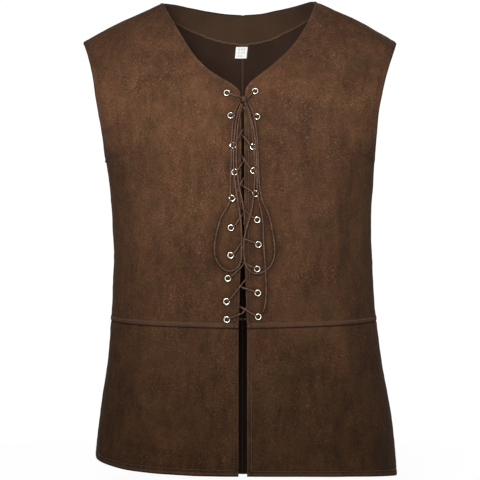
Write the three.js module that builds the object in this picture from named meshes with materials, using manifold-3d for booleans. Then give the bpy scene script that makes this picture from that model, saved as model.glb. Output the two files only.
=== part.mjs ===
// A sleeveless laced vest, filled out as when it is worn. Millimetres, +Z up.
// The front faces -Y. The wearer's right is -X. The origin lies between the two
// shoulder seams at the neck, where the wearer's shoulders carry the vest.
import * as THREE from 'three';
import * as BufferGeometryUtils from 'three/addons/utils/BufferGeometryUtils.js';
import Module from 'manifold-3d';

// Driving sizes.
const WALL = 2;
const SEAM_GAP = 0.3;
const WAIST_BAND_HEIGHT = 6.6;
const WAIST_BAND_RAISE = 0.8;
const WAIST_BAND_STEP = 0.6;
const ARMHOLE_TOP_Z = -57;
const UNDERARM_Z = -235;
const ARMHOLE_FRONT_REACH = 72;
const ARMHOLE_BACK_REACH = 64;
const EYELET_HOLE_RADIUS = 3.3;
const LACE_RADIUS = 1.2;
const FACING_THICKNESS = 1.2;
const LABEL = { left: -10, right: 8, top: -52, bottom: -69, thickness: 1 };

const RIGHT = { name: 'right', sign: -1 };
const LEFT = { name: 'left', sign: 1 };

// Turns rows of values into records with the named columns.
const table = (columns, values) => values.map((row) => Object.fromEntries(
  columns.split(' ').map((column, index) => [column, row[index]]),
));

// Half widths of the vest down each side seam.
const SIDE_SEAM = table('z right left', [
  [-235, 202.0, 194.3],
  [-265, 197.5, 191.8],
  [-300, 194.4, 190.2],
  [-350, 191.4, 190.2],
  [-400, 190.2, 191.0],
  [-440, 191.5, 193.5],
  [-468, 194.3, 197.4],
  [-520, 199.6, 206.0],
  [-570, 206.4, 215.0],
  [-620, 214.3, 223.2],
  [-700, 223.8, 230.0],
]);

// Half widths round each armhole, by its angle from the underarm (0) to the shoulder tip (180).
const ARMHOLE = table('angle right left', [
  [0, 202.0, 194.3],
  [40, 202.0, 193.2],
  [60, 203.9, 194.0],
  [75, 207.2, 195.8],
  [90, 211.0, 199.2],
  [105, 214.6, 204.5],
  [120, 219.6, 211.2],
  [135, 225.0, 217.8],
  [150, 230.4, 223.4],
  [165, 234.8, 226.8],
  [180, 236.4, 227.9],
]);

// Sections below the underarm. Each runs from the centre edge (edgeX, y, z) round to the side seam
// at sideRight or sideLeft. nearY and farY are the depths of its two handles.
const BODY_COLUMNS = 'name z edgeX y sideRight sideLeft nearY farY';
const FRONT_BODY = table(BODY_COLUMNS, [
  ['waist seam', -474, 5.9, -119, -468, -468, -123, -68],
  ['low waist', -437, 4.6, -119, -432, -432, -123, -68],
  ['waist', -400, 3.4, -120.5, -396, -396, -124, -69],
  ['high waist', -355, 2.0, -123.5, -352, -352, -127, -71],
  ['low chest', -300, 1.95, -127, -299, -299, -131, -74],
  ['underarm', -222, 1.95, -124, -235, -235, -128, -72],
]);
const BACK_BODY = table(BODY_COLUMNS, [
  ['waist seam', -474, 0, 103, -468, -468, 106, 62],
  ['low waist', -437, 0, 100, -432, -432, 103, 60],
  ['waist', -400, 0, 99, -396, -396, 103, 60],
  ['high waist', -355, 0, 104, -352, -352, 108, 63],
  ['low chest', -300, 0, 111, -299, -299, 116, 68],
  ['underarm', -225, 0, 117, -235, -235, 122, 72],
]);
const FRONT_SKIRT = table(BODY_COLUMNS, [
  ['hem', -679, 5.9, -135, -667, -697, -140, -80],
  ['low skirt', -622, 5.9, -131, -616, -624, -136, -77],
  ['middle skirt', -566, 5.9, -127, -560, -562, -131, -74],
  ['hip', -515, 5.9, -122, -509, -510, -126, -70],
  ['waist seam', -474, 5.9, -119, -468, -468, -123, -68],
]);
const BACK_SKIRT = table(BODY_COLUMNS, [
  ['hem', -716, 0, 130, -667, -697, 133, 78],
  ['low skirt', -622, 0, 122, -616, -624, 125, 74],
  ['middle skirt', -566, 0, 114, -560, -562, 117, 69],
  ['hip', -515, 0, 106, -509, -510, 109, 64],
  ['waist seam', -474, 0, 103, -468, -468, 106, 62],
]);

// Sections above the underarm, from the centre edge or neckline to the armhole at armAngle.
const YOKE_COLUMNS = 'name rightX rightZ leftX leftZ y armAngle nearAt nearY farAt farY';
const FRONT_YOKE = table(YOKE_COLUMNS, [
  ['upper chest', 1.95, -190, 1.95, -190, -118, 34, 0.5, -122, 0.93, -98],
  ['gap top', 1.95, -163, 1.95, -163, -110, 55, 0.45, -116, 0.85, -102],
  ['corner foot', 3.2, -151, 3.2, -151, -106, 66, 0.42, -113, 0.82, -103],
  ['neck corner', 3.6, -141.5, 3.4, -139.5, -103, 75, 0.4, -111, 0.8, -102],
  ['neck bottom', 12, -132, 10, -127.5, -100.5, 84, 0.4, -108, 0.8, -100],
  ['low neck', 29, -121, 25, -114.5, -95, 95, 0.38, -103, 0.78, -96],
  ['middle neck', 49, -107, 46, -97.5, -87, 107, 0.36, -95, 0.76, -90],
  ['high neck', 67, -88, 66, -78, -77, 120, 0.35, -85, 0.75, -80],
  ['neck side', 84.5, -61, 80.5, -58, -63, 135, 0.35, -70, 0.75, -65],
  ['collar bone', 101, -32.6, 95.8, -31.5, -44, 150, 0.35, -49, 0.75, -46],
  ['shoulder turn', 113.5, -9, 104.5, -7.5, -20, 165, 0.35, -21, 0.75, -20],
  ['shoulder seam', 118.4, 0, 106, 2, 0, 180, 0.35, 0, 0.75, 0],
]);
const BACK_YOKE = table(YOKE_COLUMNS, [
  ['blades', 0, -180, 0, -180, 115, 25, 0.55, 121, 0.97, 92],
  ['high blades', 0, -130, 0, -130, 109, 45, 0.48, 117, 0.9, 97],
  ['upper back', 0, -85, 0, -85, 100, 63, 0.43, 110, 0.84, 98],
  ['below the neck', 0, -45, 0, -45, 89, 80, 0.4, 101, 0.8, 96],
  ['neck centre', 0, -5.5, 0, -5.5, 77.5, 97, 0.36, 90, 0.78, 93],
  ['neck quarter', 28, -4, 26, -4, 74.5, 110, 0.36, 85, 0.78, 88],
  ['neck half', 55, -1, 51, 0.5, 67, 123, 0.35, 76, 0.76, 79],
  ['neck bend', 80, 2, 73, 3.5, 55, 137, 0.35, 61, 0.75, 63],
  ['neck side', 99, 3, 89, 5, 39, 151, 0.35, 42, 0.75, 42],
  ['shoulder turn', 112, 2, 99.5, 4.5, 20, 165, 0.35, 21, 0.75, 20],
  ['shoulder seam', 118.4, 0, 106, 2, 0, 180, 0.35, 0, 0.75, 0],
]);

// Soft folds. Each is a ridge (height > 0) or trough about a line through (x, z) that leans from
// the vertical by lean degrees.
const FOLD_COLUMNS = 'x z lean halfWidth halfLength height';
const FRONT_FOLDS = table(FOLD_COLUMNS, [
  [-128, -352, 6, 16, 75, -3.2],
  [-150, -425, -8, 18, 60, 2.4],
  [136, -352, -3, 15, 80, 2.6],
  [163, -360, -4, 13, 70, -3.4],
  [-150, -540, -12, 17, 75, 3.4],
  [-116, -635, 10, 17, 60, 3.0],
  [-84, -560, 3, 15, 95, -3.6],
  [-36, -590, 0, 14, 80, -2.2],
  [142, -510, 5, 15, 60, 3.2],
  [160, -585, -14, 17, 60, 3.0],
  [76, -530, 8, 15, 75, -3.4],
  [118, -630, -6, 16, 65, 3.2],
  [150, -640, 0, 12, 45, -3.0],
  [-150, -215, 28, 18, 60, -2.4],
  [148, -205, -30, 17, 60, -2.4],
]);
const BACK_FOLDS = table(FOLD_COLUMNS, [
  [-96, -400, 7, 18, 90, -3.4],
  [-58, -430, 2, 18, 80, 2.4],
  [92, -395, -6, 18, 90, -3.2],
  [54, -425, -3, 17, 80, 2.4],
  [-130, -570, -9, 18, 85, 3.2],
  [-76, -600, 4, 17, 85, -3.2],
  [74, -585, -3, 17, 90, -3.4],
  [130, -590, 9, 18, 80, 3.2],
  [-140, -235, 24, 18, 65, -2.6],
  [142, -230, -26, 18, 65, -2.6],
]);

const EYELETS = table('rightX rightZ leftX leftZ', [
  [22.4, -142.7, 17.5, -140.1],
  [17.0, -175.3, 19.9, -177.0],
  [13.7, -217.8, 14.4, -219.7],
  [11.4, -255.5, 14.9, -253.3],
  [14.9, -291.7, 17.9, -285.4],
  [16.5, -332.8, 20.2, -321.8],
  [16.9, -371.2, 21.8, -356.3],
  [20.8, -403.6, 20.1, -390.6],
  [22.8, -436.1, 21.0, -424.0],
  [22.3, -461.4, 21.6, -457.5],
]);

// Where the strand that rises from each eyelet below row 1 reaches the gap between the fronts.
const GAP_CROSSINGS = table('right left', [
  [-168.0, -163.4],
  [-195.4, -204.5],
  [-241.8, -234.8],
  [-265.6, -274.7],
  [-314.4, -306.8],
  [-351.4, -347.4],
  [-385.4, -381.2],
  [-410.2, -416.5],
  [-452.0, -445.4],
]);

const KNOT = { x: 1.3, z: -154, lift: 6.6, halfWidth: 6.5, halfHeight: 5.5, halfDepth: 4.4 };

// The free lace lies on the front: across, height, and lift of its centre off the cloth.
const LACE_COLUMNS = 'x z lift';
const LOOP_RIGHT = table(LACE_COLUMNS, [
  [-4.4, -159.2, 6.4],
  [-9.6, -168.0, 6.0],
  [-12.6, -181.0, 6.0],
  [-14.9, -203.0, 6.0],
  [-15.7, -224.5, 6.0],
  [-16.2, -245.0, 6.0],
  [-16.6, -264.0, 6.0],
  [-17.0, -281.0, 6.0],
  [-18.0, -296.5, 6.0],
  [-22.6, -306.0, 4.4],
  [-28.0, -314.5, 2.2],
  [-32.6, -326.0, 1.7],
  [-36.6, -341.6, 1.7],
  [-39.2, -358.0, 1.7],
  [-38.3, -372.5, 1.7],
  [-33.2, -384.0, 1.7],
  [-25.4, -391.2, 1.9],
  [-16.2, -393.0, 3.6],
  [-7.6, -388.6, 6.0],
  [-2.6, -378.5, 6.4],
  [-1.6, -364.0, 6.2],
  [-1.5, -348.0, 6.2],
  [-2.6, -326.0, 6.2],
  [-5.4, -305.0, 6.2],
  [-8.4, -287.0, 6.2],
  [-11.2, -267.0, 6.2],
  [-12.8, -246.0, 6.2],
  [-12.7, -224.5, 6.2],
  [-11.4, -203.0, 6.2],
  [-8.8, -182.0, 6.6],
  [-5.0, -168.5, 7.8],
  [-2.2, -161.4, 8.6],
]);
const LOOP_LEFT = table(LACE_COLUMNS, [
  [7.2, -158.4, 6.4],
  [12.4, -167.0, 6.0],
  [16.2, -181.0, 6.0],
  [19.2, -203.0, 6.0],
  [20.9, -224.5, 6.0],
  [21.7, -246.0, 6.0],
  [22.4, -266.0, 6.0],
  [24.2, -283.0, 6.0],
  [28.0, -298.0, 4.6],
  [33.2, -308.0, 2.4],
  [37.4, -319.0, 1.7],
  [40.2, -332.0, 1.7],
  [42.6, -346.0, 1.7],
  [44.4, -360.0, 1.7],
  [44.0, -372.5, 1.7],
  [40.0, -384.0, 1.7],
  [32.0, -392.6, 1.7],
  [22.0, -396.8, 3.0],
  [12.8, -395.2, 4.6],
  [6.2, -388.6, 6.2],
  [2.4, -377.0, 6.4],
  [1.6, -362.0, 6.2],
  [2.2, -347.0, 6.2],
  [6.0, -331.0, 6.2],
  [10.4, -317.0, 6.2],
  [13.6, -301.0, 6.2],
  [15.4, -284.0, 6.2],
  [16.8, -265.0, 6.2],
  [16.9, -246.0, 6.2],
  [15.6, -224.5, 6.2],
  [13.2, -203.0, 6.2],
  [10.6, -184.0, 6.4],
  [7.2, -170.0, 7.4],
  [4.8, -161.2, 8.4],
]);
const TAIL_RIGHT = table(LACE_COLUMNS, [
  [-0.4, -161.6, 5.6],
  [-3.4, -171.0, 6.0],
  [-5.8, -185.0, 6.0],
  [-8.0, -203.0, 6.0],
  [-9.2, -224.0, 6.0],
  [-9.0, -245.0, 6.0],
  [-7.2, -262.0, 6.0],
  [-4.6, -279.0, 6.0],
  [-1.2, -294.0, 6.0],
  [1.2, -306.0, 5.6],
  [2.6, -318.0, 5.0],
  [2.2, -329.0, 4.6],
]);
const TAIL_LEFT = table(LACE_COLUMNS, [
  [2.6, -160.6, 11.2],
  [8.4, -172.0, 10.4],
  [12.6, -187.0, 9.2],
  [16.2, -205.0, 8.8],
  [18.3, -224.5, 8.6],
  [19.3, -246.0, 8.6],
  [19.7, -265.0, 8.6],
  [20.2, -282.0, 8.0],
  [22.2, -297.0, 5.8],
  [26.0, -312.0, 3.2],
  [28.2, -328.0, 1.7],
  [28.8, -345.0, 1.7],
  [29.6, -362.0, 1.7],
  [30.8, -380.0, 2.8],
  [31.6, -393.0, 4.6],
  [32.2, -406.0, 2.6],
  [32.6, -420.0, 1.7],
  [31.6, -438.0, 1.7],
  [28.2, -451.0, 1.7],
]);

const wasm = await Module();
wasm.setup();

// A monotone cubic through the points (places, values).
function smoothCurve(places, values, endSlope = null) {
  const last = places.length - 1;
  const secants = places.slice(1).map((place, i) => (values[i + 1] - values[i]) / (place - places[i]));
  const slopes = places.map((place, i) => {
    if (i === 0) return secants[0];
    if (i === last) return endSlope === null ? secants[last - 1] : endSlope;
    const [before, after] = [secants[i - 1], secants[i]];
    return before * after <= 0 ? 0 : (2 * before * after) / (before + after);
  });
  return (place) => {
    let i = 0;
    while (i < last - 1 && place > places[i + 1]) i += 1;
    const span = places[i + 1] - places[i];
    const t = Math.min(1, Math.max(0, (place - places[i]) / span));
    return (2 * t ** 3 - 3 * t ** 2 + 1) * values[i]
      + (t ** 3 - 2 * t ** 2 + t) * span * slopes[i]
      + (3 * t ** 2 - 2 * t ** 3) * values[i + 1]
      + (t ** 3 - t ** 2) * span * slopes[i + 1];
  };
}

// Straight lines through the points (places, values).
function brokenLine(places, values) {
  return (place) => {
    let i = 0;
    while (i < places.length - 2 && place > places[i + 1]) i += 1;
    const t = (place - places[i]) / (places[i + 1] - places[i]);
    return THREE.MathUtils.lerp(values[i], values[i + 1], Math.min(1, Math.max(0, t)));
  };
}

const column = (rows, name) => rows.map((row) => row[name]);

function sideSeamPoint(side, z) {
  const rows = [...SIDE_SEAM].reverse();
  const halfWidth = smoothCurve(column(rows, 'z'), column(rows, side.name))(z);
  return new THREE.Vector3(side.sign * halfWidth, 0, z);
}

function armholePoint(side, angle, reach) {
  const halfWidth = smoothCurve(column(ARMHOLE, 'angle'), column(ARMHOLE, side.name))(angle);
  const turn = THREE.MathUtils.degToRad(angle);
  const middleZ = (ARMHOLE_TOP_Z + UNDERARM_Z) / 2;
  const halfHeight = (ARMHOLE_TOP_Z - UNDERARM_Z) / 2;
  return new THREE.Vector3(
    side.sign * halfWidth,
    reach * Math.sin(turn),
    middleZ - halfHeight * Math.cos(turn),
  );
}

// Height of the folds at (x, z), faded out near the centre edge and the seams at the side.
function foldHeight(folds, x, z, u) {
  const fade = THREE.MathUtils.smoothstep(Math.abs(x), 26, 62)
    * THREE.MathUtils.smoothstep(1 - u, 0, 0.2);
  const total = folds.reduce((sum, fold) => {
    const lean = THREE.MathUtils.degToRad(fold.lean);
    const across = (x - fold.x) * Math.cos(lean) - (z - fold.z) * Math.sin(lean);
    const along = (x - fold.x) * Math.sin(lean) + (z - fold.z) * Math.cos(lean);
    return sum + fold.height * Math.exp(-((across / fold.halfWidth) ** 2)
      - ((along / fold.halfLength) ** 2));
  }, 0);
  return fade * total;
}

// One cloth panel on one side of the vest. point(u, s) is on its smooth form: u runs from the
// centre edge (0) to the side (1), s from the lowest section (0) up to length.
function makePanel({ side, body, yoke, reach, folds }) {
  const sections = body.map((row) => ({
    name: row.name, x: row.edgeX, y: row.y, z: row.z,
    angle: 0, sideZ: side === RIGHT ? row.sideRight : row.sideLeft,
    nearAt: 0.6, nearY: row.nearY, farAt: 1, farY: row.farY,
  })).concat(yoke.map((row) => ({
    name: row.name, x: row[`${side.name}X`], y: row.y, z: row[`${side.name}Z`],
    angle: row.armAngle, sideZ: UNDERARM_Z,
    nearAt: row.nearAt, nearY: row.nearY, farAt: row.farAt, farY: row.farY,
  })));
  const centre = sections.map((row) => new THREE.Vector3(side.sign * row.x, row.y, row.z));
  const edge = sections.map((row) => (row.angle > 0
    ? armholePoint(side, row.angle, reach)
    : sideSeamPoint(side, row.sideZ)));
  const places = [0];
  for (let i = 1; i < sections.length; i += 1) {
    const step = (centre[i].distanceTo(centre[i - 1]) + edge[i].distanceTo(edge[i - 1])) / 2;
    places.push(places[i - 1] + step);
  }
  // The back's centre edge turns a corner at the neck, so its curves are in two parts there.
  const corner = sections.findIndex((row) => row.name === 'neck centre');
  const curve = (name, endSlope) => {
    const values = column(sections, name);
    if (corner < 0) return smoothCurve(places, values, endSlope);
    const below = smoothCurve(places.slice(0, corner + 1), values.slice(0, corner + 1));
    const above = smoothCurve(places.slice(corner), values.slice(corner), endSlope);
    return (place) => (place < places[corner] ? below(place) : above(place));
  };
  const flatEnd = yoke.length > 0 ? 0 : null;
  const at = {
    x: curve('x'), y: curve('y'), z: curve('z', flatEnd),
    nearAt: curve('nearAt'), nearY: curve('nearY'), farAt: curve('farAt'), farY: curve('farY'),
    angle: brokenLine(places, column(sections, 'angle')),
    sideZ: brokenLine(places, column(sections, 'sideZ')),
  };
  const length = places[places.length - 1];
  const underarm = yoke.length > 0 ? places[body.length - 1] : length;
  const point = (u, s) => {
    const start = new THREE.Vector3(side.sign * at.x(s), at.y(s), at.z(s));
    const end = yoke.length > 0 && s > underarm
      ? armholePoint(side, at.angle(s), reach)
      : sideSeamPoint(side, at.sideZ(s));
    const near = new THREE.Vector2(start.x + at.nearAt(s) * (end.x - start.x), at.nearY(s));
    const far = new THREE.Vector2(start.x + at.farAt(s) * (end.x - start.x), at.farY(s));
    const weights = [(1 - u) ** 3, 3 * u * (1 - u) ** 2, 3 * u * u * (1 - u), u ** 3];
    // A skirt's lower sections stay level at the centre and turn up or down towards the side.
    const towardsHem = yoke.length > 0 ? 0 : 1 - s / length;
    const rise = u + towardsHem * (u * u * (1.5 - 0.5 * u) - u);
    return new THREE.Vector3(
      weights[0] * start.x + weights[1] * near.x + weights[2] * far.x + weights[3] * end.x,
      weights[0] * start.y + weights[1] * near.y + weights[2] * far.y + weights[3] * end.y,
      THREE.MathUtils.lerp(start.z, end.z, rise),
    );
  };
  const step = 0.5;
  const slopes = (u, s) => {
    const [u0, u1] = [Math.max(0, u - 0.004), Math.min(1, u + 0.004)];
    const [s0, s1] = [Math.max(0, s - step), Math.min(length, s + step)];
    return {
      alongU: point(u1, s).sub(point(u0, s)).divideScalar(u1 - u0),
      alongS: point(u, s1).sub(point(u, s0)).divideScalar(s1 - s0),
    };
  };
  const isFront = reach < 0;
  const normal = (u, s) => {
    const { alongU, alongS } = slopes(u, s);
    const direction = alongU.cross(alongS).normalize();
    if (side.sign * (isFront ? 1 : -1) < 0) direction.negate();
    if (u > 0.999 && s <= underarm + 0.01) direction.y = 0;
    if (yoke.length > 0 && s > length - 0.01) direction.y = 0;
    const atWaistSeam = yoke.length > 0 ? s < 0.01 : s > length - 0.01;
    if (atWaistSeam) direction.z = 0;
    if (u < 0.001 && !isFront) direction.x = 0;
    return direction.normalize();
  };
  // The cloth's outer face, with its folds, and raised by lift.
  const outer = (u, s, lift = 0) => {
    const place = point(u, s);
    const height = foldHeight(folds, place.x, place.z, u);
    return place.addScaledVector(normal(u, s), height + lift);
  };
  return {
    side, isFront, length, underarm, outer, normal, slopes,
    neckCentre: corner < 0 ? null : places[corner],
    hasYoke: yoke.length > 0,
  };
}

// Moves a point on a seam back from it by half of the seam's gap.
function parted(panel, u, s, place) {
  const moved = place.clone();
  const half = SEAM_GAP / 2;
  const atSide = u > 0.999 && s <= panel.underarm + 0.01;
  const atShoulder = panel.hasYoke && s > panel.length - 0.01;
  const atWaistSeam = panel.hasYoke ? s < 0.01 : s > panel.length - 0.01;
  if (atSide || atShoulder) moved.y = panel.isFront ? -half : half;
  if (atWaistSeam) moved.z += panel.hasYoke ? half : -half;
  if (u < 0.001 && !panel.isFront && (!panel.hasYoke || Math.abs(place.x) < 0.5)) {
    moved.x = panel.side.sign * half;
  }
  return moved;
}

// A closed solid between two grids of points that have the same rows and columns.
function solidBetween(outerGrid, innerGrid) {
  const rows = outerGrid.length;
  const columns = outerGrid[0].length;
  const positions = [];
  [...outerGrid, ...innerGrid].forEach((row) => row.forEach((p) => positions.push(p.x, p.y, p.z)));
  const outerIndex = (row, col) => row * columns + col;
  const innerIndex = (row, col) => (rows + row) * columns + col;
  const indices = [];
  const quad = (a, b, c, d) => indices.push(a, b, c, a, c, d);
  for (let row = 0; row < rows - 1; row += 1) {
    for (let col = 0; col < columns - 1; col += 1) {
      quad(outerIndex(row, col), outerIndex(row, col + 1),
        outerIndex(row + 1, col + 1), outerIndex(row + 1, col));
      quad(innerIndex(row + 1, col), innerIndex(row + 1, col + 1),
        innerIndex(row, col + 1), innerIndex(row, col));
    }
  }
  const rim = [];
  for (let col = 0; col < columns - 1; col += 1) rim.push([0, col]);
  for (let row = 0; row < rows - 1; row += 1) rim.push([row, columns - 1]);
  for (let col = columns - 1; col > 0; col -= 1) rim.push([rows - 1, col]);
  for (let row = rows - 1; row > 0; row -= 1) rim.push([row, 0]);
  rim.forEach(([row, col], i) => {
    const [nextRow, nextCol] = rim[(i + 1) % rim.length];
    quad(outerIndex(nextRow, nextCol), outerIndex(row, col),
      innerIndex(row, col), innerIndex(nextRow, nextCol));
  });
  const geometry = new THREE.BufferGeometry();
  geometry.setAttribute('position', new THREE.Float32BufferAttribute(positions, 3));
  geometry.setIndex(indices);
  return facingOut(geometry);
}

function signedVolume(geometry) {
  const position = geometry.getAttribute('position');
  const corner = (i) => new THREE.Vector3().fromBufferAttribute(position, geometry.index.getX(i));
  let volume = 0;
  for (let i = 0; i < geometry.index.count; i += 3) {
    volume += corner(i).dot(corner(i + 1).cross(corner(i + 2))) / 6;
  }
  return volume;
}

function facingOut(geometry) {
  if (signedVolume(geometry) < 0) {
    const order = Array.from(geometry.index.array);
    for (let i = 0; i < order.length; i += 3) [order[i], order[i + 1]] = [order[i + 1], order[i]];
    geometry.setIndex(order);
  }
  return geometry;
}

// Keeps only positions and joins the vertices that share one.
function joined(geometry) {
  const bare = geometry.clone();
  bare.deleteAttribute('normal');
  bare.deleteAttribute('uv');
  return facingOut(BufferGeometryUtils.mergeVertices(bare, 1e-4));
}

function toManifold(geometry) {
  return new wasm.Manifold(new wasm.Mesh({
    numProp: 3,
    vertProperties: new Float32Array(geometry.getAttribute('position').array),
    triVerts: new Uint32Array(geometry.index.array),
  }));
}

function fromManifold(manifold) {
  const mesh = manifold.getMesh();
  const geometry = new THREE.BufferGeometry();
  geometry.setAttribute('position', new THREE.BufferAttribute(mesh.vertProperties, 3));
  geometry.setIndex(Array.from(mesh.triVerts));
  return geometry;
}

// The heights of a panel's grid lines, evenly spread between lowest and highest.
const spread = (lowest, highest, count) => Array.from(
  { length: count + 1 },
  (_, i) => lowest + ((highest - lowest) * i) / count,
);

function panelSolid(panel, uLines, sLines) {
  const outerGrid = [];
  const innerGrid = [];
  sLines.forEach((s) => {
    const band = panel.hasYoke && s < WAIST_BAND_HEIGHT + 0.01 ? WAIST_BAND_RAISE : 0;
    outerGrid.push(uLines.map((u) => parted(panel, u, s, panel.outer(u, s, band))));
    innerGrid.push(uLines.map((u) => parted(panel, u, s, panel.outer(u, s, -WALL))));
  });
  return solidBetween(outerGrid, innerGrid);
}

// The (u, s) of the point on a panel's outer face at x and z.
function findOnPanel(panel, x, z) {
  let u = 0.12;
  let s = panel.length * 0.4;
  for (let i = 0; i < 60; i += 1) {
    const place = panel.outer(u, s);
    const { alongU, alongS } = panel.slopes(u, s);
    const [dx, dz] = [x - place.x, z - place.z];
    const determinant = alongU.x * alongS.z - alongS.x * alongU.z;
    const du = (dx * alongS.z - alongS.x * dz) / determinant;
    const ds = (alongU.x * dz - alongU.z * dx) / determinant;
    u = THREE.MathUtils.clamp(u + THREE.MathUtils.clamp(du, -0.1, 0.1), 0, 1);
    s = THREE.MathUtils.clamp(s + THREE.MathUtils.clamp(ds, -40, 40), 0, panel.length);
  }
  return { u, s };
}

const COLOURS = {
  suede: new THREE.MeshStandardMaterial({ color: 0x5c4230, roughness: 0.95 }),
  facing: new THREE.MeshStandardMaterial({ color: 0x46362a, roughness: 0.9 }),
  label: new THREE.MeshStandardMaterial({ color: 0xe6e2da, roughness: 0.8 }),
  metal: new THREE.MeshStandardMaterial({ color: 0xc9c4ba, roughness: 0.3, metalness: 1 }),
  lace: new THREE.MeshStandardMaterial({ color: 0x6b5646, roughness: 0.8 }),
};

const vest = new THREE.Group();

function add(name, geometry, material) {
  const mesh = new THREE.Mesh(geometry, material);
  mesh.name = name;
  vest.add(mesh);
  return mesh;
}

// Panels.
const frontOf = (side) => makePanel({
  side, body: FRONT_BODY, yoke: FRONT_YOKE, reach: -ARMHOLE_FRONT_REACH, folds: FRONT_FOLDS,
});
const backOf = (side) => makePanel({
  side, body: BACK_BODY, yoke: BACK_YOKE, reach: ARMHOLE_BACK_REACH, folds: BACK_FOLDS,
});
const fronts = { right: frontOf(RIGHT), left: frontOf(LEFT) };
const backs = { right: backOf(RIGHT), left: backOf(LEFT) };

const acrossLines = (count) => spread(0, 1, count);
const bandLines = [0, WAIST_BAND_HEIGHT, WAIST_BAND_HEIGHT + WAIST_BAND_STEP];

function upperLines(panel, bodyCount, yokeCount) {
  return [
    ...bandLines,
    ...spread(WAIST_BAND_HEIGHT + WAIST_BAND_STEP, panel.underarm, bodyCount).slice(1),
    ...spread(panel.underarm, panel.length, yokeCount).slice(1),
  ];
}

[fronts.right, fronts.left].forEach((panel) => {
  panel.lines = { across: acrossLines(13), up: upperLines(panel, 11, 14) };
});
[backs.right, backs.left].forEach((panel) => {
  panel.lines = { across: acrossLines(13), up: upperLines(panel, 6, 15) };
});

// The point and direction of the facet that a panel's solid has at (u, s), lifted off its outer face.
function onFacet(panel, u, s, lift = 0) {
  const cell = (lines, value) => THREE.MathUtils.clamp(
    lines.filter((line) => line <= value).length - 1, 0, lines.length - 2,
  );
  const [us, ss] = [panel.lines.across, panel.lines.up];
  const [i, j] = [cell(us, u), cell(ss, s)];
  const [a, b] = [(u - us[i]) / (us[i + 1] - us[i]), (s - ss[j]) / (ss[j + 1] - ss[j])];
  const corner = (column, line) => panel.outer(us[i + column], ss[j + line], lift);
  const low = corner(0, 0).lerp(corner(1, 0), a);
  const high = corner(0, 1).lerp(corner(1, 1), a);
  const near = corner(0, 0).lerp(corner(0, 1), b);
  const far = corner(1, 0).lerp(corner(1, 1), b);
  const axis = far.sub(near).cross(high.clone().sub(low)).normalize();
  if (axis.dot(panel.normal(u, s)) < 0) axis.negate();
  return { place: low.lerp(high, b), axis };
}

// Eyelets: an eyelet's ring has its front flange on the cloth and its barrel through the hole.
function eyeletFrame(side, row) {
  const panel = fronts[side.name];
  const { u, s } = findOnPanel(panel, side.sign * row[`${side.name}X`], row[`${side.name}Z`]);
  const { place, axis } = onFacet(panel, u, s);
  const toGap = new THREE.Vector3(-side.sign, 0, 0);
  toGap.addScaledVector(axis, -toGap.dot(axis)).normalize();
  const up = new THREE.Vector3(0, 0, 1);
  up.addScaledVector(axis, -up.dot(axis)).normalize();
  return { place, axis, toGap, up };
}

const eyeletFrames = {
  right: EYELETS.map((row) => eyeletFrame(RIGHT, row)),
  left: EYELETS.map((row) => eyeletFrame(LEFT, row)),
};

const aimed = (axis) => new THREE.Quaternion().setFromUnitVectors(new THREE.Vector3(0, 1, 0), axis);

function withEyeletHoles(geometry, frames) {
  let solid = toManifold(geometry);
  frames.forEach(({ place, axis }) => {
    const punch = new THREE.CylinderGeometry(EYELET_HOLE_RADIUS, EYELET_HOLE_RADIUS, 8, 8);
    punch.applyQuaternion(aimed(axis));
    punch.translate(place.x, place.y, place.z);
    solid = solid.subtract(toManifold(joined(punch)));
  });
  return fromManifold(solid);
}

[RIGHT, LEFT].forEach((side) => {
  const front = fronts[side.name];
  const plainFront = panelSolid(front, front.lines.across, front.lines.up);
  add(`front_${side.name}`, withEyeletHoles(plainFront, eyeletFrames[side.name]), COLOURS.suede);
  const back = backs[side.name];
  add(`back_${side.name}`, panelSolid(back, back.lines.across, back.lines.up), COLOURS.suede);
  const frontSkirt = makePanel({ side, body: FRONT_SKIRT, yoke: [], reach: -1, folds: FRONT_FOLDS });
  add(`front_skirt_${side.name}`,
    panelSolid(frontSkirt, acrossLines(18), spread(0, frontSkirt.length, 6)), COLOURS.suede);
  const backSkirt = makePanel({ side, body: BACK_SKIRT, yoke: [], reach: 1, folds: BACK_FOLDS });
  add(`back_skirt_${side.name}`,
    panelSolid(backSkirt, acrossLines(16), spread(0, backSkirt.length, 5)), COLOURS.suede);
});

// Back neck facing: a band inside the back's neckline, from shoulder to shoulder. Each of its
// cross lines starts at the neckline and walks over the back's inner face at a right angle to it.
const FACING_WIDTH = table('s width', [
  [0, 46],
  [40, 42],
  [75, 34],
  [105, 26],
  [135, 23],
]);

function walkDown(panel, u, s, distance, steps) {
  const { alongS } = panel.slopes(u, s);
  const neckline = alongS.clone().normalize();
  const heading = panel.normal(u, s).cross(neckline).normalize();
  if (heading.z > 0 || heading.x * panel.side.sign < -0.01) heading.negate();
  const stops = [];
  let [atU, atS] = [u, s];
  const pace = distance / steps;
  for (let i = 0; i < steps; i += 1) {
    const local = panel.slopes(atU, atS);
    const [a, b, c] = [local.alongU.lengthSq(), local.alongU.dot(local.alongS), local.alongS.lengthSq()];
    const [p, q] = [local.alongU.dot(heading), local.alongS.dot(heading)];
    const determinant = a * c - b * b;
    atU = THREE.MathUtils.clamp(atU + (pace * (p * c - q * b)) / determinant, 0, 1);
    atS = THREE.MathUtils.clamp(atS + (pace * (q * a - p * b)) / determinant, 0, panel.length);
    stops.push([atU, atS]);
  }
  return stops;
}

function facingHalf(panel) {
  const neckLength = panel.length - panel.neckCentre;
  const width = smoothCurve(column(FACING_WIDTH, 's'), column(FACING_WIDTH, 'width'));
  return spread(0.004, 0.985, 10).map((part) => {
    const s = panel.neckCentre + neckLength * part;
    const stops = walkDown(panel, 0, s, width(neckLength * part), 24);
    return [0, 5, 11, 17, 23].map((stop) => stops[stop]);
  });
}

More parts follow.
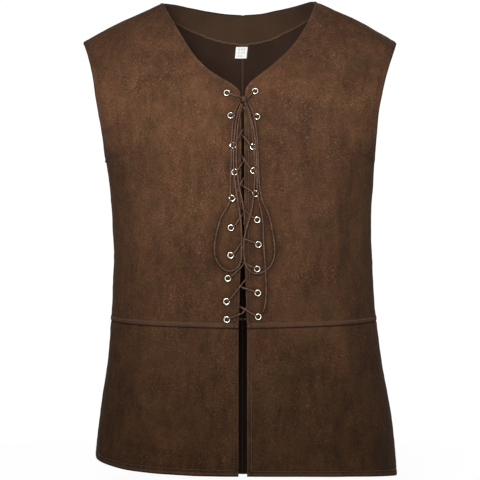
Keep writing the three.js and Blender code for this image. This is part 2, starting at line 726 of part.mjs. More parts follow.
function facingRows(panel, lift) {
  return facingHalf(panel).map((line) => line.map(([u, s]) => onFacet(panel, u, s, lift).place));
}

function facingSolid() {
  const face = (lift) => {
    const rightRows = facingRows(backs.right, lift).reverse();
    const leftRows = facingRows(backs.left, lift);
    const joinedRow = rightRows[rightRows.length - 1].map((p, i) => {
      const middle = p.clone().add(leftRows[0][i]).divideScalar(2);
      middle.x = 0;
      return middle;
    });
    return [...rightRows.slice(0, -1), joinedRow, ...leftRows.slice(1)];
  };
  const backGap = 2 * SEAM_GAP;
  return solidBetween(face(-WALL - backGap), face(-WALL - backGap - FACING_THICKNESS));
}

add('back_neck_facing', facingSolid(), COLOURS.facing);

function labelSolid() {
  const face = (lift) => spread(LABEL.top, LABEL.bottom, 3).map((z) => (
    spread(LABEL.left, LABEL.right, 4).map((x) => {
      const panel = x < 0 ? backs.right : backs.left;
      const { u, s } = findOnPanel(panel, x, z);
      return onFacet(panel, u, s, lift).place;
    })));
  const backGap = 2 * SEAM_GAP;
  return solidBetween(face(-WALL - backGap), face(-WALL - backGap - LABEL.thickness));
}

add('care_label', labelSolid(), COLOURS.label);

// Eyelet rings: radius and height over the cloth's outer face, round the closed profile.
const EYELET_PROFILE = table('radius height', [
  [5.0, 0.3],
  [3.8, 1.2],
  [2.4, 0.6],
  [2.4, -2.8],
  [4.4, -2.3],
  [2.9, -2.3],
  [2.9, 0.3],
]);

function eyeletGeometry() {
  const profile = [...EYELET_PROFILE, EYELET_PROFILE[0]]
    .map(({ radius, height }) => new THREE.Vector2(radius, height));
  return joined(new THREE.LatheGeometry(profile, 10));
}

[RIGHT, LEFT].forEach((side) => {
  eyeletFrames[side.name].forEach(({ place, axis }, i) => {
    const ring = add(`eyelet_${side.name}_${i + 1}`, eyeletGeometry(), COLOURS.metal);
    ring.position.copy(place);
    ring.quaternion.copy(aimed(axis));
  });
});

// A curve whose even steps fall on its own points, so that tight bends get as many as they need.
class PointedRoute extends THREE.CatmullRomCurve3 {
  getUtoTmapping(u) {
    return u;
  }
}

function laceTube(points, stepsBetween, sides) {
  const section = new THREE.Shape(Array.from({ length: sides }, (_, i) => {
    const turn = (2 * Math.PI * i) / sides;
    return new THREE.Vector2(LACE_RADIUS * Math.cos(turn), LACE_RADIUS * Math.sin(turn));
  }));
  const route = new PointedRoute(points, false, 'centripetal');
  return joined(new THREE.ExtrudeGeometry(section, {
    steps: (points.length - 1) * stepsBetween,
    bevelEnabled: false,
    extrudePath: route,
  }));
}

// A point over the cloth near the centre, at x, z and lift off the outer face.
function overFront(x, z, lift) {
  const panel = x < 0 ? fronts.right : fronts.left;
  const { u, s } = findOnPanel(panel, x, z);
  return panel.outer(u, s).addScaledVector(panel.normal(u, s), lift);
}

// A point over the gap between the fronts, on the straight line between their two edges.
function overGap(x, z, lift) {
  const edgeX = 9;
  const place = overFront(-edgeX, z, lift).lerp(overFront(edgeX, z, lift), (x + edgeX) / (2 * edgeX));
  return place;
}

const overVest = (x, z, lift) => (Math.abs(x) < 9 ? overGap(x, z, lift) : overFront(x, z, lift));

// Passing an eyelet: in from behind, round through the barrel, and out to the front.
const TURN = { radius: 3.75, centreOut: 3.25, centreLift: -0.85, rise: 1.6 };

function throughEyelet({ place, axis, toGap, up }, leavesDown) {
  return [-90, -45, 0, 45, 90].map((angle) => {
    const turn = THREE.MathUtils.degToRad(angle);
    const rise = (TURN.rise / 90) * (leavesDown ? -Math.abs(angle) : angle);
    return place.clone()
      .addScaledVector(toGap, TURN.centreOut - TURN.radius * Math.cos(turn))
      .addScaledVector(axis, TURN.centreLift + TURN.radius * Math.sin(turn))
      .addScaledVector(up, rise);
  });
}

// Passing the gap from its own side in front to behind the other side.
const GAP_PASS = table('beyondEdge fromEdge lift', [
  [1, 1.4, 2.0],
  [-1, 0.9, 1.3],
  [0, 0, -1],
  [-1, 0.9, -3.4],
  [1, 1.4, -4.1],
]);

function gapHalfWidth(z) {
  const rows = [...FRONT_BODY, ...FRONT_YOKE.slice(0, 2).map((row) => ({ z: row.rightZ, edgeX: row.rightX }))];
  return smoothCurve(column(rows, 'z'), column(rows, 'edgeX'))(z);
}

function acrossGap(side, gapZ, from, to, extraLift) {
  const half = gapHalfWidth(gapZ);
  return GAP_PASS.map(({ beyondEdge, fromEdge, lift }, i) => {
    const ownSide = i < 2 ? 1 : -1;
    const reachOut = beyondEdge === 0 ? 0 : half + beyondEdge * fromEdge;
    const x = side.sign * ownSide * reachOut;
    const end = i < 2 ? from : to;
    const z = THREE.MathUtils.lerp(gapZ, end.z, Math.abs(x / end.x));
    return overGap(x, z, lift + (i === 2 ? extraLift : 0));
  });
}

const CROSSING_LIFT = 1.7;
const BAR = { z: -461, lift: -4.6 };

function laceRun(firstSide) {
  const otherSide = { right: LEFT, left: RIGHT };
  const points = [overGap(firstSide.sign * SEAM_GAP, BAR.z, BAR.lift), overGap(firstSide.sign * 9, BAR.z, BAR.lift)];
  let side = firstSide;
  for (let row = EYELETS.length - 1; row >= 0; row -= 1) {
    const turn = throughEyelet(eyeletFrames[side.name][row], row === 0);
    points.push(...turn);
    if (row > 0) {
      const next = throughEyelet(eyeletFrames[otherSide[side.name].name][row - 1], row === 1);
      const gapZ = GAP_CROSSINGS[row - 1][side.name];
      const wide = gapHalfWidth(gapZ) > 3;
      const extraLift = wide ? CROSSING_LIFT * side.sign : 0;
      points.push(...acrossGap(side, gapZ, turn[4], next[0], extraLift));
      side = otherSide[side.name];
    }
  }
  const towardsKnot = overVest(side.sign * 11, -148.2, 4.2);
  const atKnot = overVest(side.sign * 6.4 + KNOT.x, -150.8, KNOT.lift);
  return [...points, towardsKnot, atKnot];
}

add('lace_run_right', laceTube(laceRun(RIGHT), 1, 6), COLOURS.lace);
add('lace_run_left', laceTube(laceRun(LEFT), 1, 6), COLOURS.lace);

const knotBall = new THREE.SphereGeometry(1, 12, 8);
knotBall.scale(KNOT.halfWidth, KNOT.halfDepth, KNOT.halfHeight);
const knot = add('bow_knot', joined(knotBall), COLOURS.lace);
knot.position.copy(overVest(KNOT.x, KNOT.z, KNOT.lift));

const freeLaces = {
  loop_right: LOOP_RIGHT,
  loop_left: LOOP_LEFT,
  tail_right: TAIL_RIGHT,
  tail_left: TAIL_LEFT,
};
Object.entries(freeLaces).forEach(([name, rows]) => {
  const points = rows.map(({ x, z, lift }) => overVest(x, z, lift));
  add(name, laceTube(points, 1, 8), COLOURS.lace);
});

export default vest;
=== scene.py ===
"""A sleeveless vest laced down the front: its cloth, sewing, eyelets, lace, light and camera.

Metres, +Z up, the front faces -Y, and the wearer's right is -X. Every cloth panel is a surface in
(u, s): u runs from the centre edge (0) round to the side (1), s up from the panel's lowest section.
"""
import math

import bpy
import numpy as np
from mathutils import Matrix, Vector


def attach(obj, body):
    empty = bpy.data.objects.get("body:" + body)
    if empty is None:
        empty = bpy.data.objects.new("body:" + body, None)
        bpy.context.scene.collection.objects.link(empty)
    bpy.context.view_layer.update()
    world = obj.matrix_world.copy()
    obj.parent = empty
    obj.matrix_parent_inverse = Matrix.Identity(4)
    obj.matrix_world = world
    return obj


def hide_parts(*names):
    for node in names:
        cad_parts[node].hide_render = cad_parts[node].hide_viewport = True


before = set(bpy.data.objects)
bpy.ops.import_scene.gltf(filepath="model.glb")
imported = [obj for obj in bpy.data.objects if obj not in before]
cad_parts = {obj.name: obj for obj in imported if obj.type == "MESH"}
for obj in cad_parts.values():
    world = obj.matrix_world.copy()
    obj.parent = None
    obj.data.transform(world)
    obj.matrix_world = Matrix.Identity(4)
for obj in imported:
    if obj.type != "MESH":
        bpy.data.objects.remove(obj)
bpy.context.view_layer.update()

BODY = "root"
WALL = 0.002
SEAM_GAP = 0.0003
SEAM_OVERLAP = 0.00005
WAIST_BAND_HEIGHT = 0.0066
ARMHOLE_TOP_Z = -0.057
UNDERARM_Z = -0.235
ARMHOLE_FRONT_REACH = 0.072
ARMHOLE_BACK_REACH = 0.064
LACE_RADIUS = 0.0012

RIGHT, LEFT = -1, 1
SIDE_NAMES = {RIGHT: "right", LEFT: "left"}


def metres(rows, *lengths):
    """The rows with the columns at these places turned from millimetres to metres."""
    return [tuple(v / 1000 if i in lengths else v for i, v in enumerate(row)) for row in rows]


# The tables below are in millimetres, as the part's own are, and metres() converts their lengths.
# Half widths down each side seam: z, right, left.
SIDE_SEAM = metres([
    (-235, 202.0, 194.3),
    (-265, 197.5, 191.8),
    (-300, 194.4, 190.2),
    (-350, 191.4, 190.2),
    (-400, 190.2, 191.0),
    (-440, 191.5, 193.5),
    (-468, 194.3, 197.4),
    (-520, 199.6, 206.0),
    (-570, 206.4, 215.0),
    (-620, 214.3, 223.2),
    (-700, 223.8, 230.0),
], 0, 1, 2)
# Half widths round each armhole: angle from the underarm in degrees, right, left.
ARMHOLE = metres([
    (0, 202.0, 194.3),
    (40, 202.0, 193.2),
    (60, 203.9, 194.0),
    (75, 207.2, 195.8),
    (90, 211.0, 199.2),
    (105, 214.6, 204.5),
    (120, 219.6, 211.2),
    (135, 225.0, 217.8),
    (150, 230.4, 223.4),
    (165, 234.8, 226.8),
    (180, 236.4, 227.9),
], 1, 2)
# Sections up to the underarm: name, centre z, centre x, centre y, right side z, left side z, near y, far y.
FRONT_BODY = metres([
    ("waist seam", -474, 5.9, -119, -468, -468, -123, -68),
    ("low waist", -437, 4.6, -119, -432, -432, -123, -68),
    ("waist", -400, 3.4, -120.5, -396, -396, -124, -69),
    ("high waist", -355, 2.0, -123.5, -352, -352, -127, -71),
    ("low chest", -300, 1.95, -127, -299, -299, -131, -74),
    ("underarm", -222, 1.95, -124, -235, -235, -128, -72),
], *range(1, 8))
BACK_BODY = metres([
    ("waist seam", -474, 0, 103, -468, -468, 106, 62),
    ("low waist", -437, 0, 100, -432, -432, 103, 60),
    ("waist", -400, 0, 99, -396, -396, 103, 60),
    ("high waist", -355, 0, 104, -352, -352, 108, 63),
    ("low chest", -300, 0, 111, -299, -299, 116, 68),
    ("underarm", -225, 0, 117, -235, -235, 122, 72),
], *range(1, 8))
FRONT_SKIRT = metres([
    ("hem", -679, 5.9, -135, -667, -697, -140, -80),
    ("low skirt", -622, 5.9, -131, -616, -624, -136, -77),
    ("middle skirt", -566, 5.9, -127, -560, -562, -131, -74),
    ("hip", -515, 5.9, -122, -509, -510, -126, -70),
    ("waist seam", -474, 5.9, -119, -468, -468, -123, -68),
], *range(1, 8))
BACK_SKIRT = metres([
    ("hem", -716, 0, 130, -667, -697, 133, 78),
    ("low skirt", -622, 0, 122, -616, -624, 125, 74),
    ("middle skirt", -566, 0, 114, -560, -562, 117, 69),
    ("hip", -515, 0, 106, -509, -510, 109, 64),
    ("waist seam", -474, 0, 103, -468, -468, 106, 62),
], *range(1, 8))
# Sections above the underarm: name, right x, right z, left x, left z, y, armhole angle, near share, near y,
# far share, far y.
YOKE_LENGTHS = (1, 2, 3, 4, 5, 8, 10)
FRONT_YOKE = metres([
    ("upper chest", 1.95, -190, 1.95, -190, -118, 34, 0.5, -122, 0.93, -98),
    ("gap top", 1.95, -163, 1.95, -163, -110, 55, 0.45, -116, 0.85, -102),
    ("corner foot", 3.2, -151, 3.2, -151, -106, 66, 0.42, -113, 0.82, -103),
    ("neck corner", 3.6, -141.5, 3.4, -139.5, -103, 75, 0.4, -111, 0.8, -102),
    ("neck bottom", 12, -132, 10, -127.5, -100.5, 84, 0.4, -108, 0.8, -100),
    ("low neck", 29, -121, 25, -114.5, -95, 95, 0.38, -103, 0.78, -96),
    ("middle neck", 49, -107, 46, -97.5, -87, 107, 0.36, -95, 0.76, -90),
    ("high neck", 67, -88, 66, -78, -77, 120, 0.35, -85, 0.75, -80),
    ("neck side", 84.5, -61, 80.5, -58, -63, 135, 0.35, -70, 0.75, -65),
    ("collar bone", 101, -32.6, 95.8, -31.5, -44, 150, 0.35, -49, 0.75, -46),
    ("shoulder turn", 113.5, -9, 104.5, -7.5, -20, 165, 0.35, -21, 0.75, -20),
    ("shoulder seam", 118.4, 0, 106, 2, 0, 180, 0.35, 0, 0.75, 0),
], *YOKE_LENGTHS)
BACK_YOKE = metres([
    ("blades", 0, -180, 0, -180, 115, 25, 0.55, 121, 0.97, 92),
    ("high blades", 0, -130, 0, -130, 109, 45, 0.48, 117, 0.9, 97),
    ("upper back", 0, -85, 0, -85, 100, 63, 0.43, 110, 0.84, 98),
    ("below the neck", 0, -45, 0, -45, 89, 80, 0.4, 101, 0.8, 96),
    ("neck centre", 0, -5.5, 0, -5.5, 77.5, 97, 0.36, 90, 0.78, 93),
    ("neck quarter", 28, -4, 26, -4, 74.5, 110, 0.36, 85, 0.78, 88),
    ("neck half", 55, -1, 51, 0.5, 67, 123, 0.35, 76, 0.76, 79),
    ("neck bend", 80, 2, 73, 3.5, 55, 137, 0.35, 61, 0.75, 63),
    ("neck side", 99, 3, 89, 5, 39, 151, 0.35, 42, 0.75, 42),
    ("shoulder turn", 112, 2, 99.5, 4.5, 20, 165, 0.35, 21, 0.75, 20),
    ("shoulder seam", 118.4, 0, 106, 2, 0, 180, 0.35, 0, 0.75, 0),
], *YOKE_LENGTHS)
# Large folds: x, z, lean in degrees, half width, half length, height.
FOLD_LENGTHS = (0, 1, 3, 4, 5)
FRONT_FOLDS = metres([
    (-128, -352, 6, 16, 75, -3.2),
    (-150, -425, -8, 18, 60, 2.4),
    (136, -352, -3, 15, 80, 2.6),
    (163, -360, -4, 13, 70, -3.4),
    (-150, -540, -12, 17, 75, 3.4),
    (-116, -635, 10, 17, 60, 3.0),
    (-84, -560, 3, 15, 95, -3.6),
    (-36, -590, 0, 14, 80, -2.2),
    (142, -510, 5, 15, 60, 3.2),
    (160, -585, -14, 17, 60, 3.0),
    (76, -530, 8, 15, 75, -3.4),
    (118, -630, -6, 16, 65, 3.2),
    (150, -640, 0, 12, 45, -3.0),
    (-150, -215, 28, 18, 60, -2.4),
    (148, -205, -30, 17, 60, -2.4),
], *FOLD_LENGTHS)
BACK_FOLDS = metres([
    (-96, -400, 7, 18, 90, -3.4),
    (-58, -430, 2, 18, 80, 2.4),
    (92, -395, -6, 18, 90, -3.2),
    (54, -425, -3, 17, 80, 2.4),
    (-130, -570, -9, 18, 85, 3.2),
    (-76, -600, 4, 17, 85, -3.2),
    (74, -585, -3, 17, 90, -3.4),
    (130, -590, 9, 18, 80, 3.2),
    (-140, -235, 24, 18, 65, -2.6),
    (142, -230, -26, 18, 65, -2.6),
], *FOLD_LENGTHS)
# Eyelet centres from the neck down, as distances from the centre line: right x, right z, left x, left z.
EYELETS = metres([
    (22.4, -142.7, 17.5, -140.1),
    (17.0, -175.3, 19.9, -177.0),
    (13.7, -217.8, 14.4, -219.7),
    (11.4, -255.5, 14.9, -253.3),
    (14.9, -291.7, 17.9, -285.4),
    (16.5, -332.8, 20.2, -321.8),
    (16.9, -371.2, 21.8, -356.3),
    (20.8, -403.6, 20.1, -390.6),
    (22.8, -436.1, 21.0, -424.0),
    (22.3, -461.4, 21.6, -457.5),
], 0, 1, 2, 3)
# Height at which each run of lace crosses the centre, by the side of the eyelet below: right, left.
GAP_CROSSINGS = metres([
    (-168.0, -163.4),
    (-195.4, -204.5),
    (-241.8, -234.8),
    (-265.6, -274.7),
    (-314.4, -306.8),
    (-351.4, -347.4),
    (-385.4, -381.2),
    (-410.2, -416.5),
    (-452.0, -445.4),
], 0, 1)
# How a run passes the front edges: 1 beyond or -1 behind, distance from the edge, lift off the cloth.
GAP_PASS = metres([
    (1, 1.4, 2.0),
    (-1, 0.9, 1.3),
    (0, 0, -1),
    (-1, 0.9, -3.4),
    (1, 1.4, -4.1),
], 1, 2)
# The free laces' routes: x, z, lift off the cloth.
LOOP_RIGHT = metres([
    (-4.4, -159.2, 6.4), (-9.6, -168.0, 6.0), (-12.6, -181.0, 6.0), (-14.9, -203.0, 6.0),
    (-15.7, -224.5, 6.0), (-16.2, -245.0, 6.0), (-16.6, -264.0, 6.0), (-17.0, -281.0, 6.0),
    (-18.0, -296.5, 6.0), (-22.6, -306.0, 4.4), (-28.0, -314.5, 2.2), (-32.6, -326.0, 1.7),
    (-36.6, -341.6, 1.7), (-39.2, -358.0, 1.7), (-38.3, -372.5, 1.7), (-33.2, -384.0, 1.7),
    (-25.4, -391.2, 1.9), (-16.2, -393.0, 3.6), (-7.6, -388.6, 6.0), (-2.6, -378.5, 6.4),
    (-1.6, -364.0, 6.2), (-1.5, -348.0, 6.2), (-2.6, -326.0, 6.2), (-5.4, -305.0, 6.2),
    (-8.4, -287.0, 6.2), (-11.2, -267.0, 6.2), (-12.8, -246.0, 6.2), (-12.7, -224.5, 6.2),
    (-11.4, -203.0, 6.2), (-8.8, -182.0, 6.6), (-5.0, -168.5, 7.8), (-2.2, -161.4, 8.6),
], 0, 1, 2)
LOOP_LEFT = metres([
    (7.2, -158.4, 6.4), (12.4, -167.0, 6.0), (16.2, -181.0, 6.0), (19.2, -203.0, 6.0),
    (20.9, -224.5, 6.0), (21.7, -246.0, 6.0), (22.4, -266.0, 6.0), (24.2, -283.0, 6.0),
    (28.0, -298.0, 4.6), (33.2, -308.0, 2.4), (37.4, -319.0, 1.7), (40.2, -332.0, 1.7),
    (42.6, -346.0, 1.7), (44.4, -360.0, 1.7), (44.0, -372.5, 1.7), (40.0, -384.0, 1.7),
    (32.0, -392.6, 1.7), (22.0, -396.8, 3.0), (12.8, -395.2, 4.6), (6.2, -388.6, 6.2),
    (2.4, -377.0, 6.4), (1.6, -362.0, 6.2), (2.2, -347.0, 6.2), (6.0, -331.0, 6.2),
    (10.4, -317.0, 6.2), (13.6, -301.0, 6.2), (15.4, -284.0, 6.2), (16.8, -265.0, 6.2),
    (16.9, -246.0, 6.2), (15.6, -224.5, 6.2), (13.2, -203.0, 6.2), (10.6, -184.0, 6.4),
    (7.2, -170.0, 7.4), (4.8, -161.2, 8.4),
], 0, 1, 2)
TAIL_RIGHT = metres([
    (-0.4, -161.6, 5.6), (-3.4, -171.0, 6.0), (-5.8, -185.0, 6.0), (-8.0, -203.0, 6.0),
    (-9.2, -224.0, 6.0), (-9.0, -245.0, 6.0), (-7.2, -262.0, 6.0), (-4.6, -279.0, 6.0),
    (-1.2, -294.0, 6.0), (1.2, -306.0, 5.6), (2.6, -318.0, 5.0), (2.2, -329.0, 4.6),
], 0, 1, 2)
TAIL_LEFT = metres([
    (2.6, -160.6, 11.2), (8.4, -172.0, 10.4), (12.6, -187.0, 9.2), (16.2, -205.0, 8.8),
    (18.3, -224.5, 8.6), (19.3, -246.0, 8.6), (19.7, -265.0, 8.6), (20.2, -282.0, 8.0),
    (22.2, -297.0, 5.8), (26.0, -312.0, 3.2), (28.2, -328.0, 1.7), (28.8, -345.0, 1.7),
    (29.6, -362.0, 1.7), (30.8, -380.0, 2.8), (31.6, -393.0, 4.6), (32.2, -406.0, 2.6),
    (32.6, -420.0, 1.7), (31.6, -438.0, 1.7), (28.2, -451.0, 1.7),
], 0, 1, 2)


def hermite(t, start, end, leaving, arriving):
    """The cubic from start to end with these slopes at its ends, at t from 0 to 1."""
    return (
        (2 * t**3 - 3 * t**2 + 1) * start + (t**3 - 2 * t**2 + t) * leaving
        + (3 * t**2 - 2 * t**3) * end + (t**3 - t**2) * arriving
    )


def smooth_curve(places, values, end_slope=None):
    """A monotone cubic through the points (places, values)."""
    places, values = np.array(places, float), np.array(values, float)
    secants = np.diff(values) / np.diff(places)
    slopes = np.zeros(len(places))
    slopes[0] = secants[0]
    slopes[-1] = secants[-1] if end_slope is None else end_slope
    before, after = secants[:-1], secants[1:]
    same = before * after > 0
    slopes[1:-1][same] = 2 * before[same] * after[same] / (before + after)[same]

    def value(place):
        place = np.asarray(place, float)
        i = np.searchsorted(places[1:-1], place, side="left")
        span = places[i + 1] - places[i]
        t = np.clip((place - places[i]) / span, 0, 1)
        return hermite(t, values[i], values[i + 1], span * slopes[i], span * slopes[i + 1])

    return value


def arrays(u, s):
    """Both as arrays of one shape."""
    return np.broadcast_arrays(np.asarray(u, float), np.asarray(s, float))


def distances(points):
    """How far along the line through the points each of them lies."""
    return np.concatenate([[0], np.cumsum(np.linalg.norm(np.diff(points, axis=0), axis=1))])


def between(at, along, vectors):
    """The vectors at these distances along their line."""
    return np.stack([np.interp(at, along, vectors[:, i]) for i in range(3)], -1)


def smoothstep(value, low, high):
    t = np.clip((value - low) / (high - low), 0, 1)
    return t * t * (3 - 2 * t)


def column(rows, index):
    return [row[index] for row in rows]


SIDE_CURVES = {
    side: smooth_curve(column(SIDE_SEAM, 0)[::-1], column(SIDE_SEAM, index)[::-1])
    for side, index in ((RIGHT, 1), (LEFT, 2))
}
ARMHOLE_CURVES = {
    side: smooth_curve(column(ARMHOLE, 0), column(ARMHOLE, index)) for side, index in ((RIGHT, 1), (LEFT, 2))
}


def side_seam_point(side, z):
    half_width = SIDE_CURVES[side](z)
    return np.stack([side * half_width, np.zeros_like(half_width), z + 0 * half_width], -1)


def armhole_point(side, angle, reach):
    half_width = ARMHOLE_CURVES[side](angle)
    turn = np.radians(angle)
    middle, half_height = (ARMHOLE_TOP_Z + UNDERARM_Z) / 2, (ARMHOLE_TOP_Z - UNDERARM_Z) / 2
    return np.stack(
        [side * half_width, reach * np.sin(turn), middle - half_height * np.cos(turn)], -1
    )


def fold_height(folds, x, z, u):
    """Height of the folds at (x, z), faded out near the centre edge and the side."""
    total = np.zeros_like(x)
    for at_x, at_z, lean, half_width, half_length, height in folds:
        turn = math.radians(lean)
        across = (x - at_x) * math.cos(turn) - (z - at_z) * math.sin(turn)
        along = (x - at_x) * math.sin(turn) + (z - at_z) * math.cos(turn)
        total += height * np.exp(-((across / half_width) ** 2) - (along / half_length) ** 2)
    return total * smoothstep(np.abs(x), 0.026, 0.062) * smoothstep(1 - u, 0, 0.2)


class Panel:
    """The smooth outer face of one cloth panel on one side of the vest."""

    def __init__(self, side, body, yoke, reach, folds):
        self.side, self.reach, self.folds = side, reach, folds
        self.is_front, self.has_yoke = reach < 0, bool(yoke)
        is_right = side == RIGHT
        rows = [
            (name, edge_x, y, z, 0, right if is_right else left, 0.6, near_y, 1.0, far_y)
            for name, z, edge_x, y, right, left, near_y, far_y in body
        ] + [
            (name, right_x if is_right else left_x, y, right_z if is_right else left_z,
             angle, UNDERARM_Z, near_at, near_y, far_at, far_y)
            for name, right_x, right_z, left_x, left_z, y, angle, near_at, near_y, far_at, far_y in yoke
        ]
        names = column(rows, 0)
        angles, side_z = np.array(column(rows, 4), float), np.array(column(rows, 5), float)
        centre = np.array([(side * r[1], r[2], r[3]) for r in rows])
        edge = np.where(
            (angles > 0)[:, None], armhole_point(side, angles, reach), side_seam_point(side, side_z)
        )
        steps = (
            np.linalg.norm(np.diff(centre, axis=0), axis=1) + np.linalg.norm(np.diff(edge, axis=0), axis=1)
        ) / 2
        self.places = np.concatenate([[0], np.cumsum(steps)])
        self.length = self.places[-1]
        self.underarm = self.places[len(body) - 1] if yoke else self.length
        corner = names.index("neck centre") if "neck centre" in names else None
        self.neck_centre = self.places[corner] if corner else None

        def curve(index, end_slope=None):
            values = column(rows, index)
            if corner is None:
                return smooth_curve(self.places, values, end_slope)
            below = smooth_curve(self.places[: corner + 1], values[: corner + 1])
            above = smooth_curve(self.places[corner:], values[corner:], end_slope)
            return lambda s: np.where(s < self.places[corner], below(s), above(s))

        flat_end = 0 if yoke else None
        self.at_x, self.at_y, self.at_z = curve(1), curve(2), curve(3, flat_end)
        self.near_at, self.near_y, self.far_at, self.far_y = (curve(i) for i in (6, 7, 8, 9))
        self.angle = lambda s: np.interp(s, self.places, angles)
        self.side_z = lambda s: np.interp(s, self.places, side_z)
        self.measure()

    def measure(self):
        """Tables of the distance across the panel, for laying lines at a distance from its edges."""
        self.u_table, self.s_table = np.linspace(0, 1, 161), np.linspace(0, self.length, 241)
        grid = self.point(self.u_table[None, :], self.s_table[:, None])
        steps = np.linalg.norm(np.diff(grid, axis=1), axis=2)
        self.arc = np.concatenate([np.zeros((241, 1)), np.cumsum(steps, axis=1)], axis=1)
        self.edge_angle = []
        for u in (0.0, 1.0):
            along_u, along_s = self.slopes(u, np.clip(self.s_table, 0.001, self.length - 0.001))
            sine = np.linalg.norm(np.cross(unit(along_u), unit(along_s)), axis=-1)
            self.edge_angle.append(np.maximum(sine, 0.45))

    def from_edges(self, u, s):
        """Distances over the cloth from the centre edge and from the side edge."""
        row, col = s / self.length * 240, np.asarray(u) * 160
        i, j = np.clip(row.astype(int), 0, 239), np.clip(col.astype(int), 0, 159)
        a, b = row - i, col - j
        low = self.arc[i, j] * (1 - b) + self.arc[i, j + 1] * b
        high = self.arc[i + 1, j] * (1 - b) + self.arc[i + 1, j + 1] * b
        arc = low * (1 - a) + high * a
        width = np.interp(s, self.s_table, self.arc[:, -1])
        near, far = (np.interp(s, self.s_table, sine) for sine in self.edge_angle)
        return arc * near, (width - arc) * far

    def across(self, s, near_steps, far_steps, spacing):
        """The u of each grid line at s: at the given distances from both edges, and evenly between."""
        i = np.clip(s / self.length * 240, 0, 240)
        low, share = int(min(i, 239)), i - int(min(i, 239))
        arc = self.arc[low] * (1 - share) + self.arc[low + 1] * share
        near = np.array(near_steps) / np.interp(s, self.s_table, self.edge_angle[0])
        far = arc[-1] - np.array(far_steps[::-1]) / np.interp(s, self.s_table, self.edge_angle[1])
        count = self.middle_count(near_steps, far_steps, spacing)
        middle = np.linspace(near[-1], far[0], count + 2)[1:-1]
        return np.interp(np.concatenate([near, middle, far]), arc, self.u_table)

    def middle_count(self, near_steps, far_steps, spacing):
        widest = self.arc[:, -1].max() - near_steps[-1] - far_steps[-1]
        return int(round(widest / spacing))

    def point(self, u, s):
        u, s = arrays(u, s)
        start = np.stack([self.side * self.at_x(s), self.at_y(s), self.at_z(s)], -1)
        end = np.where(
            (self.has_yoke & (s > self.underarm))[..., None],
            armhole_point(self.side, self.angle(s), self.reach),
            side_seam_point(self.side, self.side_z(s)),
        )
        near_x = start[..., 0] + self.near_at(s) * (end[..., 0] - start[..., 0])
        far_x = start[..., 0] + self.far_at(s) * (end[..., 0] - start[..., 0])
        a, b, c, d = (1 - u) ** 3, 3 * u * (1 - u) ** 2, 3 * u * u * (1 - u), u**3
        x = a * start[..., 0] + b * near_x + c * far_x + d * end[..., 0]
        y = a * start[..., 1] + b * self.near_y(s) + c * self.far_y(s) + d * end[..., 1]
        # A skirt's lower sections stay level at the centre and turn up or down towards the side.
        rise = u if self.has_yoke else u + (1 - s / self.length) * (u * u * (1.5 - 0.5 * u) - u)
        return np.stack([x, y, start[..., 2] * (1 - rise) + end[..., 2] * rise], -1)

    def slopes(self, u, s):
        u, s = arrays(u, s)
        u0, u1 = np.maximum(0, u - 0.004), np.minimum(1, u + 0.004)
        s0, s1 = np.maximum(0, s - 0.0005), np.minimum(self.length, s + 0.0005)
        along_u = (self.point(u1, s) - self.point(u0, s)) / (u1 - u0)[..., None]
        along_s = (self.point(u, s1) - self.point(u, s0)) / (s1 - s0)[..., None]
        return along_u, along_s

    def normal(self, u, s):
        u, s = arrays(u, s)
        out = unit(np.cross(*self.slopes(u, s)))
        if self.side * (1 if self.is_front else -1) < 0:
            out = -out
        at_waist = s < 1e-5 if self.has_yoke else s > self.length - 1e-5
        at_side = (u > 0.999) & (s <= self.underarm + 1e-5)
        at_shoulder = self.has_yoke & (s > self.length - 1e-5)
        out[..., 1][at_side | at_shoulder] = 0
        out[..., 2][at_waist] = 0
        if not self.is_front:
            out[..., 0][u < 0.001] = 0
        return unit(out)

    def outer(self, u, s, lift=0):
        """The cloth's outer face with its folds, raised by lift."""
        place = self.point(u, s)
        height = fold_height(self.folds, place[..., 0], place[..., 2], np.asarray(u)) + lift
        return place + self.normal(u, s) * np.asarray(height)[..., None]

    def find(self, x, z):
        """The (u, s) of the points on the outer face at x and z."""
        x, z = arrays(x, z)
        u, s = np.full(x.shape, 0.12), np.full(x.shape, self.length * 0.4)
        for _ in range(16):
            along_u, along_s = self.slopes(u, s)
            place = self.outer(u, s)
            dx, dz = x - place[..., 0], z - place[..., 2]
            scale = along_u[..., 0] * along_s[..., 2] - along_s[..., 0] * along_u[..., 2]
            du = (dx * along_s[..., 2] - along_s[..., 0] * dz) / scale
            ds = (along_u[..., 0] * dz - along_u[..., 2] * dx) / scale
            u = np.clip(u + np.clip(du, -0.1, 0.1), 0, 1)
            s = np.clip(s + np.clip(ds, -0.04, 0.04), 0, self.length)
        return u, s


def unit(vectors):
    return vectors / np.maximum(np.linalg.norm(vectors, axis=-1, keepdims=True), 1e-12)


FRONT = dict(body=FRONT_BODY, yoke=FRONT_YOKE, reach=-ARMHOLE_FRONT_REACH, folds=FRONT_FOLDS)
BACK = dict(body=BACK_BODY, yoke=BACK_YOKE, reach=ARMHOLE_BACK_REACH, folds=BACK_FOLDS)
FRONT_LOW = dict(body=FRONT_SKIRT, yoke=[], reach=-0.001, folds=FRONT_FOLDS)
BACK_LOW = dict(body=BACK_SKIRT, yoke=[], reach=0.001, folds=BACK_FOLDS)
fronts = {side: Panel(side, **FRONT) for side in (RIGHT, LEFT)}
backs = {side: Panel(side, **BACK) for side in (RIGHT, LEFT)}
front_skirts = {side: Panel(side, **FRONT_LOW) for side in (RIGHT, LEFT)}
back_skirts = {side: Panel(side, **BACK_LOW) for side in (RIGHT, LEFT)}


